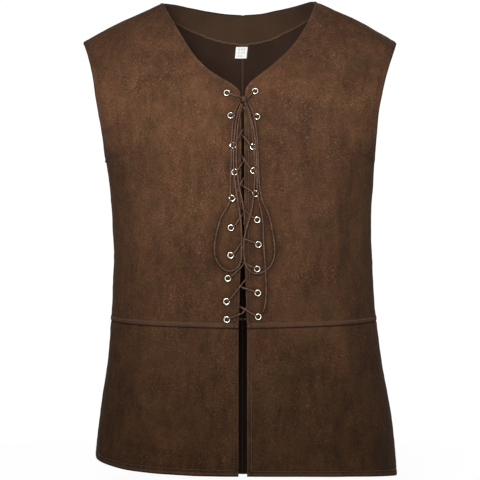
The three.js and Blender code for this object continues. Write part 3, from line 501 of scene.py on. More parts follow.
def cloudy(places, size, seed):
    """Smooth noise from -1 to 1 at the places, with soft blobs of the given size along x, y and z."""
    lattice = np.random.default_rng(seed).uniform(-1, 1, (32, 32, 32))
    scaled = places / np.asarray(size) + 100.0
    whole = np.floor(scaled).astype(int)
    part = scaled - whole
    part = part * part * part * (part * (part * 6 - 15) + 10)
    total = np.zeros(places.shape[:-1])
    for dx in (0, 1):
        for dy in (0, 1):
            for dz in (0, 1):
                weight = np.ones(places.shape[:-1])
                for axis, step in enumerate((dx, dy, dz)):
                    weight = weight * (part[..., axis] if step else 1 - part[..., axis])
                corner = [(whole[..., axis] + step) % 32 for axis, step in enumerate((dx, dy, dz))]
                total += weight * lattice[tuple(corner)]
    return total * 1.6


def bell(value, width):
    return np.exp(-((value / width) ** 2))


EDGE_ROUND = 0.001
STITCH_WIDTH = 0.0009
STITCH_DEPTH = 0.00045
SEAM_WIDTH = 0.0015
SEAM_DEPTH = 0.0010
NECK_STITCH = 0.0062
ARMHOLE_STITCH = 0.0088
HEM_STITCH = 0.0085
BAND_STITCH = 0.0054
BAND_RISE, BAND_STEP = 0.0008, 0.0008
SEAM_RIDGE = 0.0004
# Widths of the dark line of painted shade along a sewn edge, and of the pale lines along a front, the band
# and a hem: part wear, part painted highlight.
DARK_EDGE, DARK_EDGE_WIDTH = 0.8, 0.0014
PALE_FRONT_AT, PALE_FRONT_WIDTH = 0.0005, 0.0010
PALE_BAND, PALE_BAND_AT, PALE_BAND_WIDTH = 0.35, WAIST_BAND_HEIGHT - 0.0006, 0.0011
PALE_HEM, PALE_HEM_AT, PALE_HEM_WIDTH = 0.6, 0.0034, 0.0013


def eyelet_spot(side, row):
    """The (u, s) of an eyelet's centre on its front."""
    right_x, right_z, left_x, left_z = row
    x, z = (right_x, right_z) if side == RIGHT else (left_x, left_z)
    return fronts[side].find(side * x, z)


eyelet_spots = {side: [eyelet_spot(side, row) for row in EYELETS] for side in (RIGHT, LEFT)}


def edge_marks(panel, u, s):
    """For each point: how near it is to a rim, a line of stitches, a seam or a dark line of painted shade,
    and a pale line of wear and painted highlight.
    """
    near, far = panel.from_edges(u, s)
    low, high = s, panel.length - s
    free_near = np.ones_like(s) if panel.is_front else np.zeros_like(s)
    if panel.neck_centre:
        free_near = smoothstep(s, panel.neck_centre - 0.002, panel.neck_centre + 0.004)
    free_far = smoothstep(s, panel.underarm - 0.002, panel.underarm + 0.006) if panel.has_yoke else 0 * s
    rim = np.maximum(free_near * np.clip(1 - near / EDGE_ROUND, 0, 1),
                     free_far * np.clip(1 - far / EDGE_ROUND, 0, 1))
    stitch = free_near * bell(near - NECK_STITCH, STITCH_WIDTH)
    stitch = np.maximum(stitch, free_far * bell(far - ARMHOLE_STITCH, STITCH_WIDTH))
    seam = np.maximum((1 - free_near) * bell(near, SEAM_WIDTH), (1 - free_far) * bell(far, SEAM_WIDTH))
    if panel.has_yoke:
        stitch = np.maximum(stitch, bell(low - BAND_STITCH, STITCH_WIDTH))
        seam = np.maximum(seam, bell(high, SEAM_WIDTH))
        seam = np.maximum(seam, bell(low, SEAM_WIDTH))
    else:
        rim = np.maximum(rim, np.clip(1 - low / EDGE_ROUND, 0, 1))
        stitch = np.maximum(stitch, bell(low - HEM_STITCH, STITCH_WIDTH))
        seam = np.maximum(seam, bell(high, SEAM_WIDTH))
    # A pale line along the front: part wear, part painted highlight.
    pale = (0.6 if panel.has_yoke else 0.4) * free_near * bell(near - PALE_FRONT_AT, PALE_FRONT_WIDTH)
    # Painted shade: a dark line along the armhole edge, carried in the seam mark.
    seam = np.maximum(seam, DARK_EDGE * free_far * bell(far, DARK_EDGE_WIDTH))
    if panel.has_yoke:
        # The raised band and its top line are paler: painted highlight.
        band = PALE_BAND * (1 - smoothstep(low, WAIST_BAND_HEIGHT, WAIST_BAND_HEIGHT + 0.001))
        pale = np.maximum(pale, band + PALE_BAND * bell(low - PALE_BAND_AT, PALE_BAND_WIDTH))
    else:
        # A pale line above the hem: part wear, part painted highlight.
        pale = np.maximum(pale, PALE_HEM * bell(low - PALE_HEM_AT, PALE_HEM_WIDTH))
        # Painted shade: a dark line along the hem.
        seam = np.maximum(seam, DARK_EDGE * bell(low, DARK_EDGE_WIDTH))
    return rim, stitch, seam, pale


# Single folds in the fronts and front skirts, in millimetres: half width, height, points (x, z) along each.
FOLDS = [
    (11, 1.5, [(130, -290), (134, -345), (128, -405)]),
    (10, -1.2, [(150, -300), (153, -350), (147, -400)]),
    (12, -1.7, [(-138, -330), (-131, -365), (-124, -402)]),
    (9, 1.8, [(-146, -440), (-105, -432)]),
    (10, 2.7, [(-138, -488), (-155, -556), (-118, -636)]),
    (9, -2.4, [(-90, -500), (-79, -585), (-74, -660)]),
    (8, -1.9, [(-46, -520), (-37, -600)]),
    (10, 2.7, [(139, -488), (156, -553), (124, -618)]),
    (9, -2.4, [(74, -490), (104, -548), (73, -612)]),
    (8, -1.9, [(136, -590), (144, -655)]),
    (3.5, 1.2, [(-60, -92), (-36, -114), (-10, -136)]),
    (2.6, -1.0, [(-66, -98), (-40, -121), (-16, -141)]),
    (4, -1.5, [(-216, -94), (-200, -120)]),
    (4, -1.5, [(197, -74), (182, -102)]),
    (4, -1.8, [(-193, -242), (-172, -250)]),
    (4, -1.8, [(187, -240), (166, -247)]),
]


def folds(place):
    total = np.zeros(place.shape[:-1])
    x, z = place[..., 0], place[..., 2]
    for width, height, line in FOLDS:
        away = np.full_like(x, 1.0)
        points = metres(line, 0, 1)
        for (x0, z0), (x1, z1) in zip(points, points[1:]):
            dx, dz = x1 - x0, z1 - z0
            part = np.clip(((x - x0) * dx + (z - z0) * dz) / (dx * dx + dz * dz), 0, 1)
            away = np.minimum(away, np.hypot(x - x0 - part * dx, z - z0 - part * dz))
        total += height / 1000 * bell(away, width / 1000)
    return total


def creases(panel, place, u, s):
    """Height of the soft rumples, from wide swells down to small puckers along the sewing."""
    x = np.abs(place[..., 0])
    calm = smoothstep(x, 0.024, 0.075) if panel.is_front else np.ones_like(x)
    z = place[..., 2]
    skirt = smoothstep(-z, 0.474, 0.56)
    swell = 0.0010 * cloudy(place, (0.055, 0.2, 0.085), 11)
    ripple = 0.00045 * cloudy(place, (0.020, 0.1, 0.034), 12)
    drape = 0.0016 * skirt * cloudy(place, (0.032, 0.2, 0.22), 13)
    near, far = panel.from_edges(u, s)
    sewn = np.minimum(near, far) if panel.has_yoke else np.minimum(np.minimum(near, far), s)
    pucker = 0.00022 * cloudy(place, (0.0075, 0.03, 0.0075), 14) * bell(sewn - 0.005, 0.007)
    single = folds(place) if panel.is_front else 0
    return calm * (swell + ripple + drape) + single + pucker


def surface(panel, u, s):
    """The finished outer face of the cloth, with its creases, grooves, seams and rounded rims."""
    u, s = arrays(u, s)
    place = panel.outer(u, s)
    rim, stitch, seam, _ = edge_marks(panel, u, s)
    height = creases(panel, place, u, s) - STITCH_DEPTH * stitch - SEAM_DEPTH * seam
    height -= WALL / 2 * (1 - np.sqrt(np.clip(1 - rim**2, 0, 1)))
    if panel.has_yoke:
        height += BAND_RISE * (1 - smoothstep(s, WAIST_BAND_HEIGHT, WAIST_BAND_HEIGHT + BAND_STEP))
    normal = panel.normal(u, s)
    return place + normal * height[..., None], normal


def inner_surface(panel, u, s):
    """The cloth's inner face, one wall behind the outer."""
    u, s = arrays(u, s)
    place = panel.outer(u, s)
    rim, _, seam, _ = edge_marks(panel, u, s)
    height = creases(panel, place, u, s) - WALL + SEAM_RIDGE * seam
    height += WALL / 2 * (1 - np.sqrt(np.clip(1 - rim**2, 0, 1)))
    return place + panel.normal(u, s) * height[..., None]


def parted(panel, u, s, place):
    """Puts the points on a seam just past it, so that the two sides meet with no light between."""
    moved, half = place.copy(), -SEAM_OVERLAP
    at_side = (u > 0.999) & (s <= panel.underarm + 1e-5)
    at_shoulder = panel.has_yoke & (s > panel.length - 1e-5)
    moved[..., 1][at_side | at_shoulder] = -half if panel.is_front else half
    at_waist = s < 1e-5 if panel.has_yoke else s > panel.length - 1e-5
    moved[..., 2][at_waist] += half if panel.has_yoke else -half
    if not panel.is_front:
        limit = (np.abs(place[..., 0]) < 0.0005) | (not panel.has_yoke)
        moved[..., 0][(u < 0.001) & limit] = panel.side * half
    return moved


# Distances of a mesh's lines from the edges of its panel, close together at rims and stitches.
EDGE_STEPS = [0, 0.00012, 0.0004, 0.0009, 0.0016]
NEAR_STEPS = EDGE_STEPS + [0.0026, 0.0040, 0.0052, 0.0062, 0.0072, 0.0088, 0.0114]
FAR_STEPS = EDGE_STEPS + [0.0026, 0.0042, 0.0062, 0.0078, 0.0088, 0.0098, 0.0116, 0.0142]
HEM_STEPS = EDGE_STEPS + [0.0028, 0.0046, 0.0064, 0.0075, 0.0085, 0.0095, 0.0115, 0.0142]
LOW_STEPS = [0, 0.0003, 0.0009, 0.0018, 0.0030, 0.0044, 0.0054, 0.0063, 0.0066, 0.0070, 0.0074, 0.0086,
             0.0108]
TOP_STEPS = [0, 0.0004, 0.001, 0.0018, 0.0030, 0.0050, 0.0080]
# Distance between the lines elsewhere.
SPACING = 0.0034


def new_mesh(name, points, faces, materials, face_materials=None):
    mesh = bpy.data.meshes.new(name)
    mesh.from_pydata([tuple(p) for p in points], [], faces)
    for material in materials:
        mesh.materials.append(material)
    if face_materials is not None:
        mesh.polygons.foreach_set("material_index", face_materials)
    mesh.polygons.foreach_set("use_smooth", [True] * len(mesh.polygons))
    mesh.update()
    piece = bpy.data.objects.new(name, mesh)
    bpy.context.scene.collection.objects.link(piece)
    return piece


def give_attribute(piece, name, values):
    attribute = piece.data.attributes.new(name, "FLOAT", "POINT")
    attribute.data.foreach_set("value", np.asarray(values, np.float32).ravel())


def settle(piece, node=None):
    """Hides the solid that the piece stands for, if one is named, and ties the piece to the body that it
    rides.
    """
    if node:
        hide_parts(node)
    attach(piece, BODY)


def shell(name, outer, inner, materials):
    """A closed mesh between two grids of points: the first material outside, the second inside."""
    rows, columns = outer.shape[:2]
    outer_index = np.arange(rows * columns).reshape(rows, columns)
    inner_index = outer_index + rows * columns
    faces, kinds = [], []

    def add(grid, kind, turned):
        a, b, c, d = grid[:-1, :-1], grid[:-1, 1:], grid[1:, 1:], grid[1:, :-1]
        quads = np.stack([a, d, c, b] if turned else [a, b, c, d], -1).reshape(-1, 4)
        faces.extend(quads.tolist())
        kinds.extend([kind] * len(quads))

    middle_u = np.cross(outer[rows // 2, columns // 2 + 1] - outer[rows // 2, columns // 2],
                        outer[rows // 2 + 1, columns // 2] - outer[rows // 2, columns // 2])
    outward = outer[rows // 2, columns // 2] - inner[rows // 2, columns // 2]
    turned = bool(np.dot(middle_u, outward) < 0)
    add(outer_index, 0, turned)
    add(inner_index, 1, not turned)
    rim = (
        [(0, c) for c in range(columns - 1)] + [(r, columns - 1) for r in range(rows - 1)]
        + [(rows - 1, c) for c in range(columns - 1, 0, -1)] + [(r, 0) for r in range(rows - 1, 0, -1)]
    )
    for here, there in zip(rim, rim[1:] + rim[:1]):
        quad = [outer_index[there], outer_index[here], inner_index[here], inner_index[there]]
        faces.append([int(v) for v in (quad[::-1] if turned else quad)])
        kinds.append(0)
    points = np.concatenate([outer.reshape(-1, 3), inner.reshape(-1, 3)])
    return new_mesh(name, points, faces, materials, kinds)


def make_cloth(name, panel, node):
    """One panel of cloth, as a wall with an outer and an inner face."""
    bottom = LOW_STEPS if panel.has_yoke else HEM_STEPS
    count = int(round((panel.length - bottom[-1] - TOP_STEPS[-1]) / SPACING))
    middle = np.linspace(bottom[-1], panel.length - TOP_STEPS[-1], count + 2)[1:-1]
    s_lines = np.concatenate([bottom, middle, panel.length - np.array(TOP_STEPS[::-1])])
    u = np.array([panel.across(s, NEAR_STEPS, FAR_STEPS, SPACING) for s in s_lines])
    u[:, 0], u[:, -1] = 0, 1
    s = np.repeat(s_lines[:, None], u.shape[1], axis=1)
    outer = parted(panel, u, s, surface(panel, u, s)[0])
    inner = parted(panel, u, s, inner_surface(panel, u, s))
    piece = shell(name, outer, inner, [suede, cloth_back])
    _, *marks = edge_marks(panel, u, s)
    for mark, values in zip(("stitch", "seam", "edge"), marks):
        give_attribute(piece, mark, np.concatenate([values.ravel(), values.ravel() * (mark == "seam")]))
    settle(piece, node)
    return piece


# Materials.
def linear(red, green, blue):
    """A colour in linear light from its screen values, 0 to 255."""
    return tuple(((v / 255 + 0.055) / 1.055) ** 2.4 for v in (red, green, blue)) + (1.0,)


class Nodes:
    """A material being built: short names for the nodes it uses."""

    def __init__(self, name, roughness, **uniform):
        self.material = bpy.data.materials.new(name)
        self.material.use_nodes = True
        self.tree = self.material.node_tree
        self.shader = self.tree.nodes["Principled BSDF"]
        self.shader.inputs["Roughness"].default_value = roughness
        for socket, value in uniform.items():
            self.shader.inputs[socket.replace("_", " ")].default_value = value
        self.place = self.new("ShaderNodeTexCoord").outputs["Object"]

    def new(self, kind, **settings):
        node = self.tree.nodes.new(kind)
        for key, value in settings.items():
            setattr(node, key, value)
        return node

    def link(self, source, target):
        self.tree.links.new(source, target)

    def scaled(self, x, y, z):
        mapping = self.new("ShaderNodeMapping")
        mapping.inputs["Scale"].default_value = (x, y, z)
        self.link(self.place, mapping.inputs["Vector"])
        return mapping.outputs["Vector"]

    def noise(self, vector, scale, detail=3.0, roughness=0.5, distortion=0.0):
        node = self.new("ShaderNodeTexNoise")
        for socket, value in (("Scale", scale), ("Detail", detail), ("Roughness", roughness),
                              ("Distortion", distortion)):
            node.inputs[socket].default_value = value
        self.link(vector, node.inputs["Vector"])
        return node.outputs["Fac"]

    def attribute(self, name):
        return self.new("ShaderNodeAttribute", attribute_name=name).outputs["Fac"]

    def ramp(self, value, low, high, to_low=0.0, to_high=1.0):
        node = self.new("ShaderNodeMapRange")
        for socket, number in (("From Min", low), ("From Max", high),
                               ("To Min", to_low), ("To Max", to_high)):
            node.inputs[socket].default_value = number
        self.link(value, node.inputs["Value"])
        return node.outputs["Result"]

    def math(self, operation, a, b):
        node = self.new("ShaderNodeMath", operation=operation)
        for socket, value in zip(node.inputs, (a, b)):
            if isinstance(value, (int, float)):
                socket.default_value = value
            else:
                self.link(value, socket)
        return node.outputs[0]

    def height_of(self, axis):
        node = self.new("ShaderNodeSeparateXYZ")
        self.link(self.place, node.inputs[0])
        return node.outputs[axis]

    def mix(self, factor, a, b, blend="MIX"):
        node = self.new("ShaderNodeMix", data_type="RGBA", blend_type=blend)
        for socket, value in ((node.inputs[0], factor), (node.inputs[6], a), (node.inputs[7], b)):
            if isinstance(value, (int, float, tuple)):
                socket.default_value = value
            else:
                self.link(value, socket)
        return node.outputs[2]

    def bump(self, height, strength, distance, after=None):
        node = self.new("ShaderNodeBump")
        node.inputs["Strength"].default_value = strength
        node.inputs["Distance"].default_value = distance
        self.link(height, node.inputs["Height"])
        if after is not None:
            self.link(after, node.inputs["Normal"])
        return node.outputs["Normal"]

    def done(self, colour=None, normal=None, roughness=None):
        for value, socket in ((colour, "Base Color"), (normal, "Normal"), (roughness, "Roughness")):
            if value is not None:
                self.link(value, self.shader.inputs[socket])
        return self.material


# Painted shade of the light falling off downwards: the suede darkens to this share of its red, green and blue
# from the first height down to the second.
HEM_SHADE, HEM_SHADE_HEIGHTS = (0.55, 0.54, 0.47), (-0.14, -0.64)


def make_suede():
    """Brown faux suede: a cloudy nap with pale flecks, painted shade in its seams, along its armholes and
    hem, towards the hem and beside the laces, and paler along its edges from wear and painted highlight.
    """
    m = Nodes("suede", 0.92, Sheen_Weight=0.03, Sheen_Roughness=0.5,
              Sheen_Tint=(0.55, 0.34, 0.23, 1.0), Specular_IOR_Level=0.05)
    clouds = m.noise(m.scaled(1, 1, 0.8), 13, 5, 0.6, 0.5)
    patches = m.noise(m.scaled(1, 1, 0.9), 42, 6, 0.7, 0.8)
    warmth = m.noise(m.scaled(1, 1, 0.9), 27, 4, 0.6, 0.3)
    brushed = m.noise(m.scaled(1, 1, 0.28), 90, 4, 0.62, 0.5)
    worn = m.noise(m.place, 24, 5, 0.7, 0.6)
    flecks = m.noise(m.place, 520, 3, 0.7)
    grain = m.noise(m.place, 1100, 2, 0.7)
    colour = m.mix(m.ramp(clouds, 0.38, 0.64), linear(68, 44, 30), linear(101, 68, 47))
    colour = m.mix(m.ramp(patches, 0.42, 0.66, 0.0, 0.75), colour, linear(60, 39, 26))
    colour = m.mix(m.ramp(warmth, 0.5, 0.7, 0.0, 0.6), colour, linear(90, 56, 38))
    colour = m.mix(m.ramp(warmth, 0.5, 0.32, 0.0, 0.55), colour, linear(78, 59, 36))
    colour = m.mix(m.ramp(brushed, 0.42, 0.7, 0.0, 0.38), colour, linear(110, 78, 54))
    colour = m.mix(m.ramp(flecks, 0.52, 0.72, 0.0, 0.7), colour, linear(42, 28, 19))
    pale = m.math("MULTIPLY", m.ramp(flecks, 0.47, 0.3, 0.0, 1.0), m.ramp(worn, 0.42, 0.62, 0.25, 0.95))
    colour = m.mix(pale, colour, linear(132, 99, 73))
    colour = m.mix(m.ramp(grain, 0.35, 0.75, 0.0, 0.4), colour, linear(50, 33, 23))
    # Painted shade: darker towards the hem.
    shade = m.new("ShaderNodeCombineColor")
    for socket, lowest in zip(shade.inputs, HEM_SHADE):
        m.link(m.ramp(m.height_of("Z"), *HEM_SHADE_HEIGHTS, 1.0, lowest), socket)
    colour = m.mix(1.0, colour, shade.outputs[0], "MULTIPLY")
    # Pale edges and band: part wear, part painted highlight.
    colour = m.mix(m.ramp(m.attribute("edge"), 0.1, 1.0, 0.0, 0.6), colour, linear(112, 84, 67))
    colour = m.mix(m.attribute("shaded"), colour, linear(28, 19, 12))
    # Painted shade in the sewn grooves and along the armhole and hem edges.
    sewn = m.math("MAXIMUM", m.attribute("stitch"), m.attribute("seam"))
    colour = m.mix(m.ramp(sewn, 0.15, 1.0, 0.0, 0.8), colour, linear(24, 16, 11))
    rumples = m.noise(m.scaled(1, 1, 0.8), 110, 4, 0.6, 0.5)
    normal = m.bump(rumples, 0.5, 0.0014)
    normal = m.bump(flecks, 0.6, 0.0005, normal)
    normal = m.bump(m.noise(m.scaled(1, 1, 0.3), 420, 3, 0.6), 0.25, 0.0004, normal)
    return m.done(colour, normal, m.ramp(clouds, 0.3, 0.7, 0.86, 0.98))


def make_cloth_back():
    """The knitted wrong side of the suede, flatter, and darker partly as painted shade of the vest's inside.
    """
    m = Nodes("cloth_back", 0.95, Sheen_Weight=0.04, Sheen_Roughness=0.5,
              Sheen_Tint=(0.5, 0.4, 0.32, 1.0), Specular_IOR_Level=0.1)
    clouds = m.noise(m.scaled(1, 1, 0.6), 22, 4, 0.6)
    knit = m.noise(m.scaled(1, 1, 0.5), 1400, 2, 0.5)
    colour = m.mix(m.ramp(clouds, 0.3, 0.7), linear(47, 33, 25), linear(60, 43, 32))
    colour = m.mix(m.ramp(knit, 0.3, 0.7, 0.0, 0.5), colour, linear(38, 27, 21))
    colour = m.mix(m.ramp(m.attribute("seam"), 0.3, 1.0, 0.0, 0.6), colour, linear(86, 68, 56))
    normal = m.bump(knit, 0.5, 0.0002)
    return m.done(colour, m.bump(clouds, 0.2, 0.002, normal))


def make_ring_shade_suede():
    """Painted shade round a metal ring's rim: near-black suede, a little smoother where the rim presses on
    it.
    """
    m = Nodes("ring_shade_suede", 0.8, Specular_IOR_Level=0.1)
    grain = m.noise(m.place, 1100, 2, 0.7)
    colour = m.mix(m.ramp(grain, 0.3, 0.7), linear(26, 17, 12), linear(42, 29, 20))
    return m.done(colour, m.bump(grain, 0.3, 0.0002))


def make_facing_cloth():
    """The paler band inside the neck, with its overlocked edge."""
    m = Nodes("facing_cloth", 0.9, Sheen_Weight=0.05, Sheen_Roughness=0.5,
              Sheen_Tint=(0.55, 0.45, 0.36, 1.0), Specular_IOR_Level=0.15)
    clouds = m.noise(m.place, 30, 4, 0.6)
    grain = m.noise(m.place, 1000, 3, 0.65)
    colour = m.mix(m.ramp(clouds, 0.3, 0.7), linear(60, 42, 29), linear(73, 51, 35))
    colour = m.mix(m.ramp(grain, 0.3, 0.7, 0.0, 0.45), colour, linear(47, 33, 22))
    colour = m.mix(m.math("MULTIPLY", m.attribute("overlock"), 0.85), colour, linear(108, 86, 66))
    normal = m.bump(grain, 0.5, 0.00025)
    return m.done(colour, m.bump(m.attribute("overlock"), 0.6, 0.0006, normal))


def make_thread(name, dark, light):
    """Twisted sewing thread."""
    m = Nodes(name, 0.7, Sheen_Weight=0.2, Specular_IOR_Level=0.3)
    twist = m.noise(m.place, 2600, 2, 0.5)
    colour = m.mix(m.ramp(twist, 0.35, 0.65), linear(*dark), linear(*light))
    return m.done(colour, m.bump(twist, 0.4, 0.0001))


def make_metal():
    """Bright nickel with fine rubbed scratches."""
    m = Nodes("nickel", 0.2, Metallic=1.0, Specular_IOR_Level=0.5)
    rubbed = m.noise(m.place, 620, 4, 0.6)
    scratches = m.noise(m.scaled(1, 1, 9), 900, 2, 0.5)
    colour = m.mix(m.ramp(rubbed, 0.35, 0.7), linear(222, 214, 194), linear(248, 243, 226))
    # Painted shade inside the bore.
    colour = m.mix(m.attribute("hollow"), colour, linear(26, 20, 15))
    normal = m.bump(scratches, 0.12, 0.00006)
    return m.done(colour, normal, m.ramp(rubbed, 0.3, 0.7, 0.16, 0.34))


def make_lace_cord():
    """Round braided cord of waxed strands, with painted shade between the strands, on its sides and back, in
    the eyelets and behind the fronts.
    """
    m = Nodes("lace_cord", 0.52, Sheen_Weight=0.02, Sheen_Roughness=0.35,
              Sheen_Tint=(0.7, 0.5, 0.4, 1.0), Specular_IOR_Level=0.12)
    left, right = m.attribute("braid_left"), m.attribute("braid_right")
    braid = m.math("MAXIMUM", left, right)
    worn = m.noise(m.place, 210, 4, 0.6, 0.5)
    colour = m.mix(m.ramp(worn, 0.3, 0.7), linear(60, 41, 30), linear(132, 98, 78))
    # Painted shade between the braid's strands.
    colour = m.mix(m.ramp(braid, 0.2, 0.9, 0.62, 0.0), colour, linear(36, 25, 18))
    # Painted shade on the cord's sides and back, down in the eyelets and behind the fronts.
    colour = m.mix(m.ramp(m.attribute("lace_shade"), 0.10, 1.0, 0.0, 0.85), colour, linear(20, 13, 9))
    normal = m.bump(braid, 0.7, 0.0002)
    return m.done(colour, normal, m.ramp(worn, 0.3, 0.7, 0.44, 0.62))


def make_label_tape():
    """White satin tape with faint grey rows of plain care marks."""
    m = Nodes("label_tape", 0.55, Sheen_Weight=0.2, Specular_IOR_Level=0.35)
    weave = m.noise(m.scaled(3, 1, 1), 1500, 2, 0.5)
    colour = m.mix(m.ramp(weave, 0.3, 0.7), linear(228, 226, 222), linear(246, 245, 242))
    colour = m.mix(m.attribute("mark"), colour, linear(168, 169, 170))
    return m.done(colour, m.bump(weave, 0.3, 0.0001))


suede, cloth_back, facing_cloth = make_suede(), make_cloth_back(), make_facing_cloth()
ring_shade_suede = make_ring_shade_suede()
thread = make_thread("thread", (78, 56, 42), (116, 86, 64))
nickel, lace_cord, label_tape = make_metal(), make_lace_cord(), make_label_tape()


# Cloth pieces: the panels, the cut's width, length and area, and the upper part that each rests on.
CUTS = {
    "front": (fronts, 0.27, 0.53, 0.108, "back"),
    "back": (backs, 0.27, 0.56, 0.118, "front"),
    "front_skirt": (front_skirts, 0.30, 0.225, 0.060, "front"),
    "back_skirt": (back_skirts, 0.30, 0.245, 0.066, "back"),
}
HOLE_RADIUS, HOLE_REACH, HOLE_SIDES = 0.0031, 0.006, 20


def round_about(axis, count):
    """Directions out from the axis, evenly all round it."""
    side = unit(np.cross(axis, (0, 0, 1)))
    up = np.cross(side, axis)
    turns = [2 * math.pi * i / count for i in range(count)]
    return [side * math.cos(turn) + up * math.sin(turn) for turn in turns]


def cut_holes(piece, frames):
    """Punches the eyelet holes through a panel."""
    points, faces, n = [], [], HOLE_SIDES
    for centre, axis, _, _ in frames:
        first = len(points)
        for depth in (-HOLE_REACH, HOLE_REACH):
            points += [centre + axis * depth + out * HOLE_RADIUS for out in round_about(axis, n)]
        for i in range(n):
            j = (i + 1) % n
            faces.append([first + i, first + j, first + n + j, first + n + i])
        faces += [[first + i for i in range(n - 1, -1, -1)], [first + n + i for i in range(n)]]
    punch = new_mesh("punch", points, faces, [suede])
    boolean = piece.modifiers.new("holes", "BOOLEAN")
    boolean.operation, boolean.object, boolean.solver = "DIFFERENCE", punch, "EXACT"
    graph = bpy.context.evaluated_depsgraph_get()
    piece.data = bpy.data.meshes.new_from_object(piece.evaluated_get(graph))
    piece.modifiers.clear()
    bpy.data.objects.remove(punch)


def lathe(name, profile, centre, axis, material, turns=36):
    """A closed ring: the profile (radius, height) turned about the axis."""
    points, faces, count = [], [], len(profile)
    for out in round_about(axis, turns):
        points += [centre + out * radius + axis * height for radius, height in profile]
    for i in range(turns):
        a, b = i * count, ((i + 1) % turns) * count
        for j in range(count):
            k = (j + 1) % count
            faces.append([a + j, b + j, b + k, a + k])
    ring = new_mesh(name, points, faces, [material])
    hollow = [float(radius < BORE_RADIUS and height < BORE_TOP) for radius, height in profile]
    give_attribute(ring, "hollow", hollow * turns)
    return ring


EYELET_PROFILE = [
    (0.00458, 0.00010), (0.00450, 0.00052), (0.00426, 0.00092), (0.00394, 0.00108), (0.00360, 0.00102),
    (0.00328, 0.00074), (0.00304, 0.00030), (0.00292, -0.0003), (0.00288, -0.0024), (0.00296, -0.0030),
    (0.00330, -0.0033), (0.00390, -0.0031), (0.00430, -0.0025), (0.00410, -0.0023), (0.00350, -0.0027),
    (0.00318, -0.0025), (0.00312, -0.0005), (0.00324, 0.00010),
]
# The dark collar of painted shade round an eyelet, as (radius, height).
RING_SHADE_PROFILE = [
    (0.00440, 0.00012), (0.00470, 0.00052), (0.00525, 0.00044), (0.00575, 0.00015), (0.00580, -0.0004),
    (0.00440, -0.0004),
]
# Painted shade inside an eyelet's bore: within this radius and below this height of the profile.
BORE_RADIUS, BORE_TOP = 0.0033, 0.0005


def eyelet_frame(side, spot):
    """An eyelet's centre and its directions: outwards, to the front opening, and up."""
    place, axis = surface(fronts[side], *spot)
    to_gap = np.array([-side, 0.0, 0.0])
    to_gap = unit(to_gap - axis * np.dot(to_gap, axis))
    up = np.array([0.0, 0.0, 1.0])
    return place, axis, to_gap, unit(up - axis * np.dot(up, axis))


STITCH_ARCH, STITCH_SUNK = 0.00022, 0.00004


def thread_line(panel, u, s, pitch=0.0034, length=0.0026, radius=0.00027):
    """Points and faces of a row of stitches along the panel's line (u, s)."""
    place, normal = surface(panel, u, s)
    along = distances(place)
    starts = np.arange(pitch / 2, along[-1] - length, pitch)
    rings, sides = np.array([0.0, 0.12, 0.35, 0.65, 0.88, 1.0]), 6
    widths = np.array([0.25, 0.8, 1.0, 1.0, 0.8, 0.25])
    points, faces = [], []
    for start in starts:
        at = start + rings * length
        centre, up = between(at, along, place), unit(between(at, along, normal))
        ahead = unit(centre[-1] - centre[0])
        across = unit(np.cross(up, ahead))
        arch = np.sin(rings * math.pi) * STITCH_ARCH - STITCH_SUNK
        first = len(points)
        for i in range(len(rings)):
            for j in range(sides):
                turn = 2 * math.pi * j / sides
                points.append(centre[i] + up[i] * (arch[i] + math.sin(turn) * radius * widths[i])
                              + across[i] * math.cos(turn) * radius * widths[i])
        for i in range(len(rings) - 1):
            for j in range(sides):
                k = (j + 1) % sides
                faces.append([first + i * sides + j, first + i * sides + k,
                              first + (i + 1) * sides + k, first + (i + 1) * sides + j])
        faces += [[first + j for j in range(sides - 1, -1, -1)],
                  [first + (len(rings) - 1) * sides + j for j in range(sides)]]
    return points, faces


def stitching(name, lines):
    """One piece of all the rows of stitches along the lines."""
    points, faces = [], []
    for panel, u, s in lines:
        more_points, more_faces = thread_line(panel, u, s)
        faces += [[v + len(points) for v in face] for face in more_faces]
        points += more_points
    settle(new_mesh(name, points, faces, [thread]))


def edge_line(panel, from_near, distance, low, high):
    """(u, s) along the line at that distance from the centre edge or the side edge."""
    s = np.linspace(low, high, 260)
    near = [distance, distance + 0.001] if from_near else [0, 0.001]
    far = [0, 0.001] if from_near else [distance, distance + 0.001]
    index = 0 if from_near else -1
    u = np.array([panel.across(value, near, far, 0.02)[index] for value in s])
    return panel, u, s


def level_line(panel, height):
    u = np.linspace(0.01, 0.99, 200)
    return panel, u, np.full(200, height)


def upper_lines(panel):
    """The stitch lines of an upper panel: along the waist band, the front or neck edge and the armhole."""
    low = WAIST_BAND_HEIGHT + 0.002 if panel.is_front else panel.neck_centre + 0.004
    high = panel.length - 0.004
    return [level_line(panel, BAND_STITCH), edge_line(panel, True, NECK_STITCH, low, high),
            edge_line(panel, False, ARMHOLE_STITCH, panel.underarm + 0.006, high)]


def skirt_lines(panel):
    lines = [level_line(panel, HEM_STITCH)]
    if panel.is_front:
        lines.append(edge_line(panel, True, NECK_STITCH, HEM_STITCH, panel.length - 0.002))
    return lines


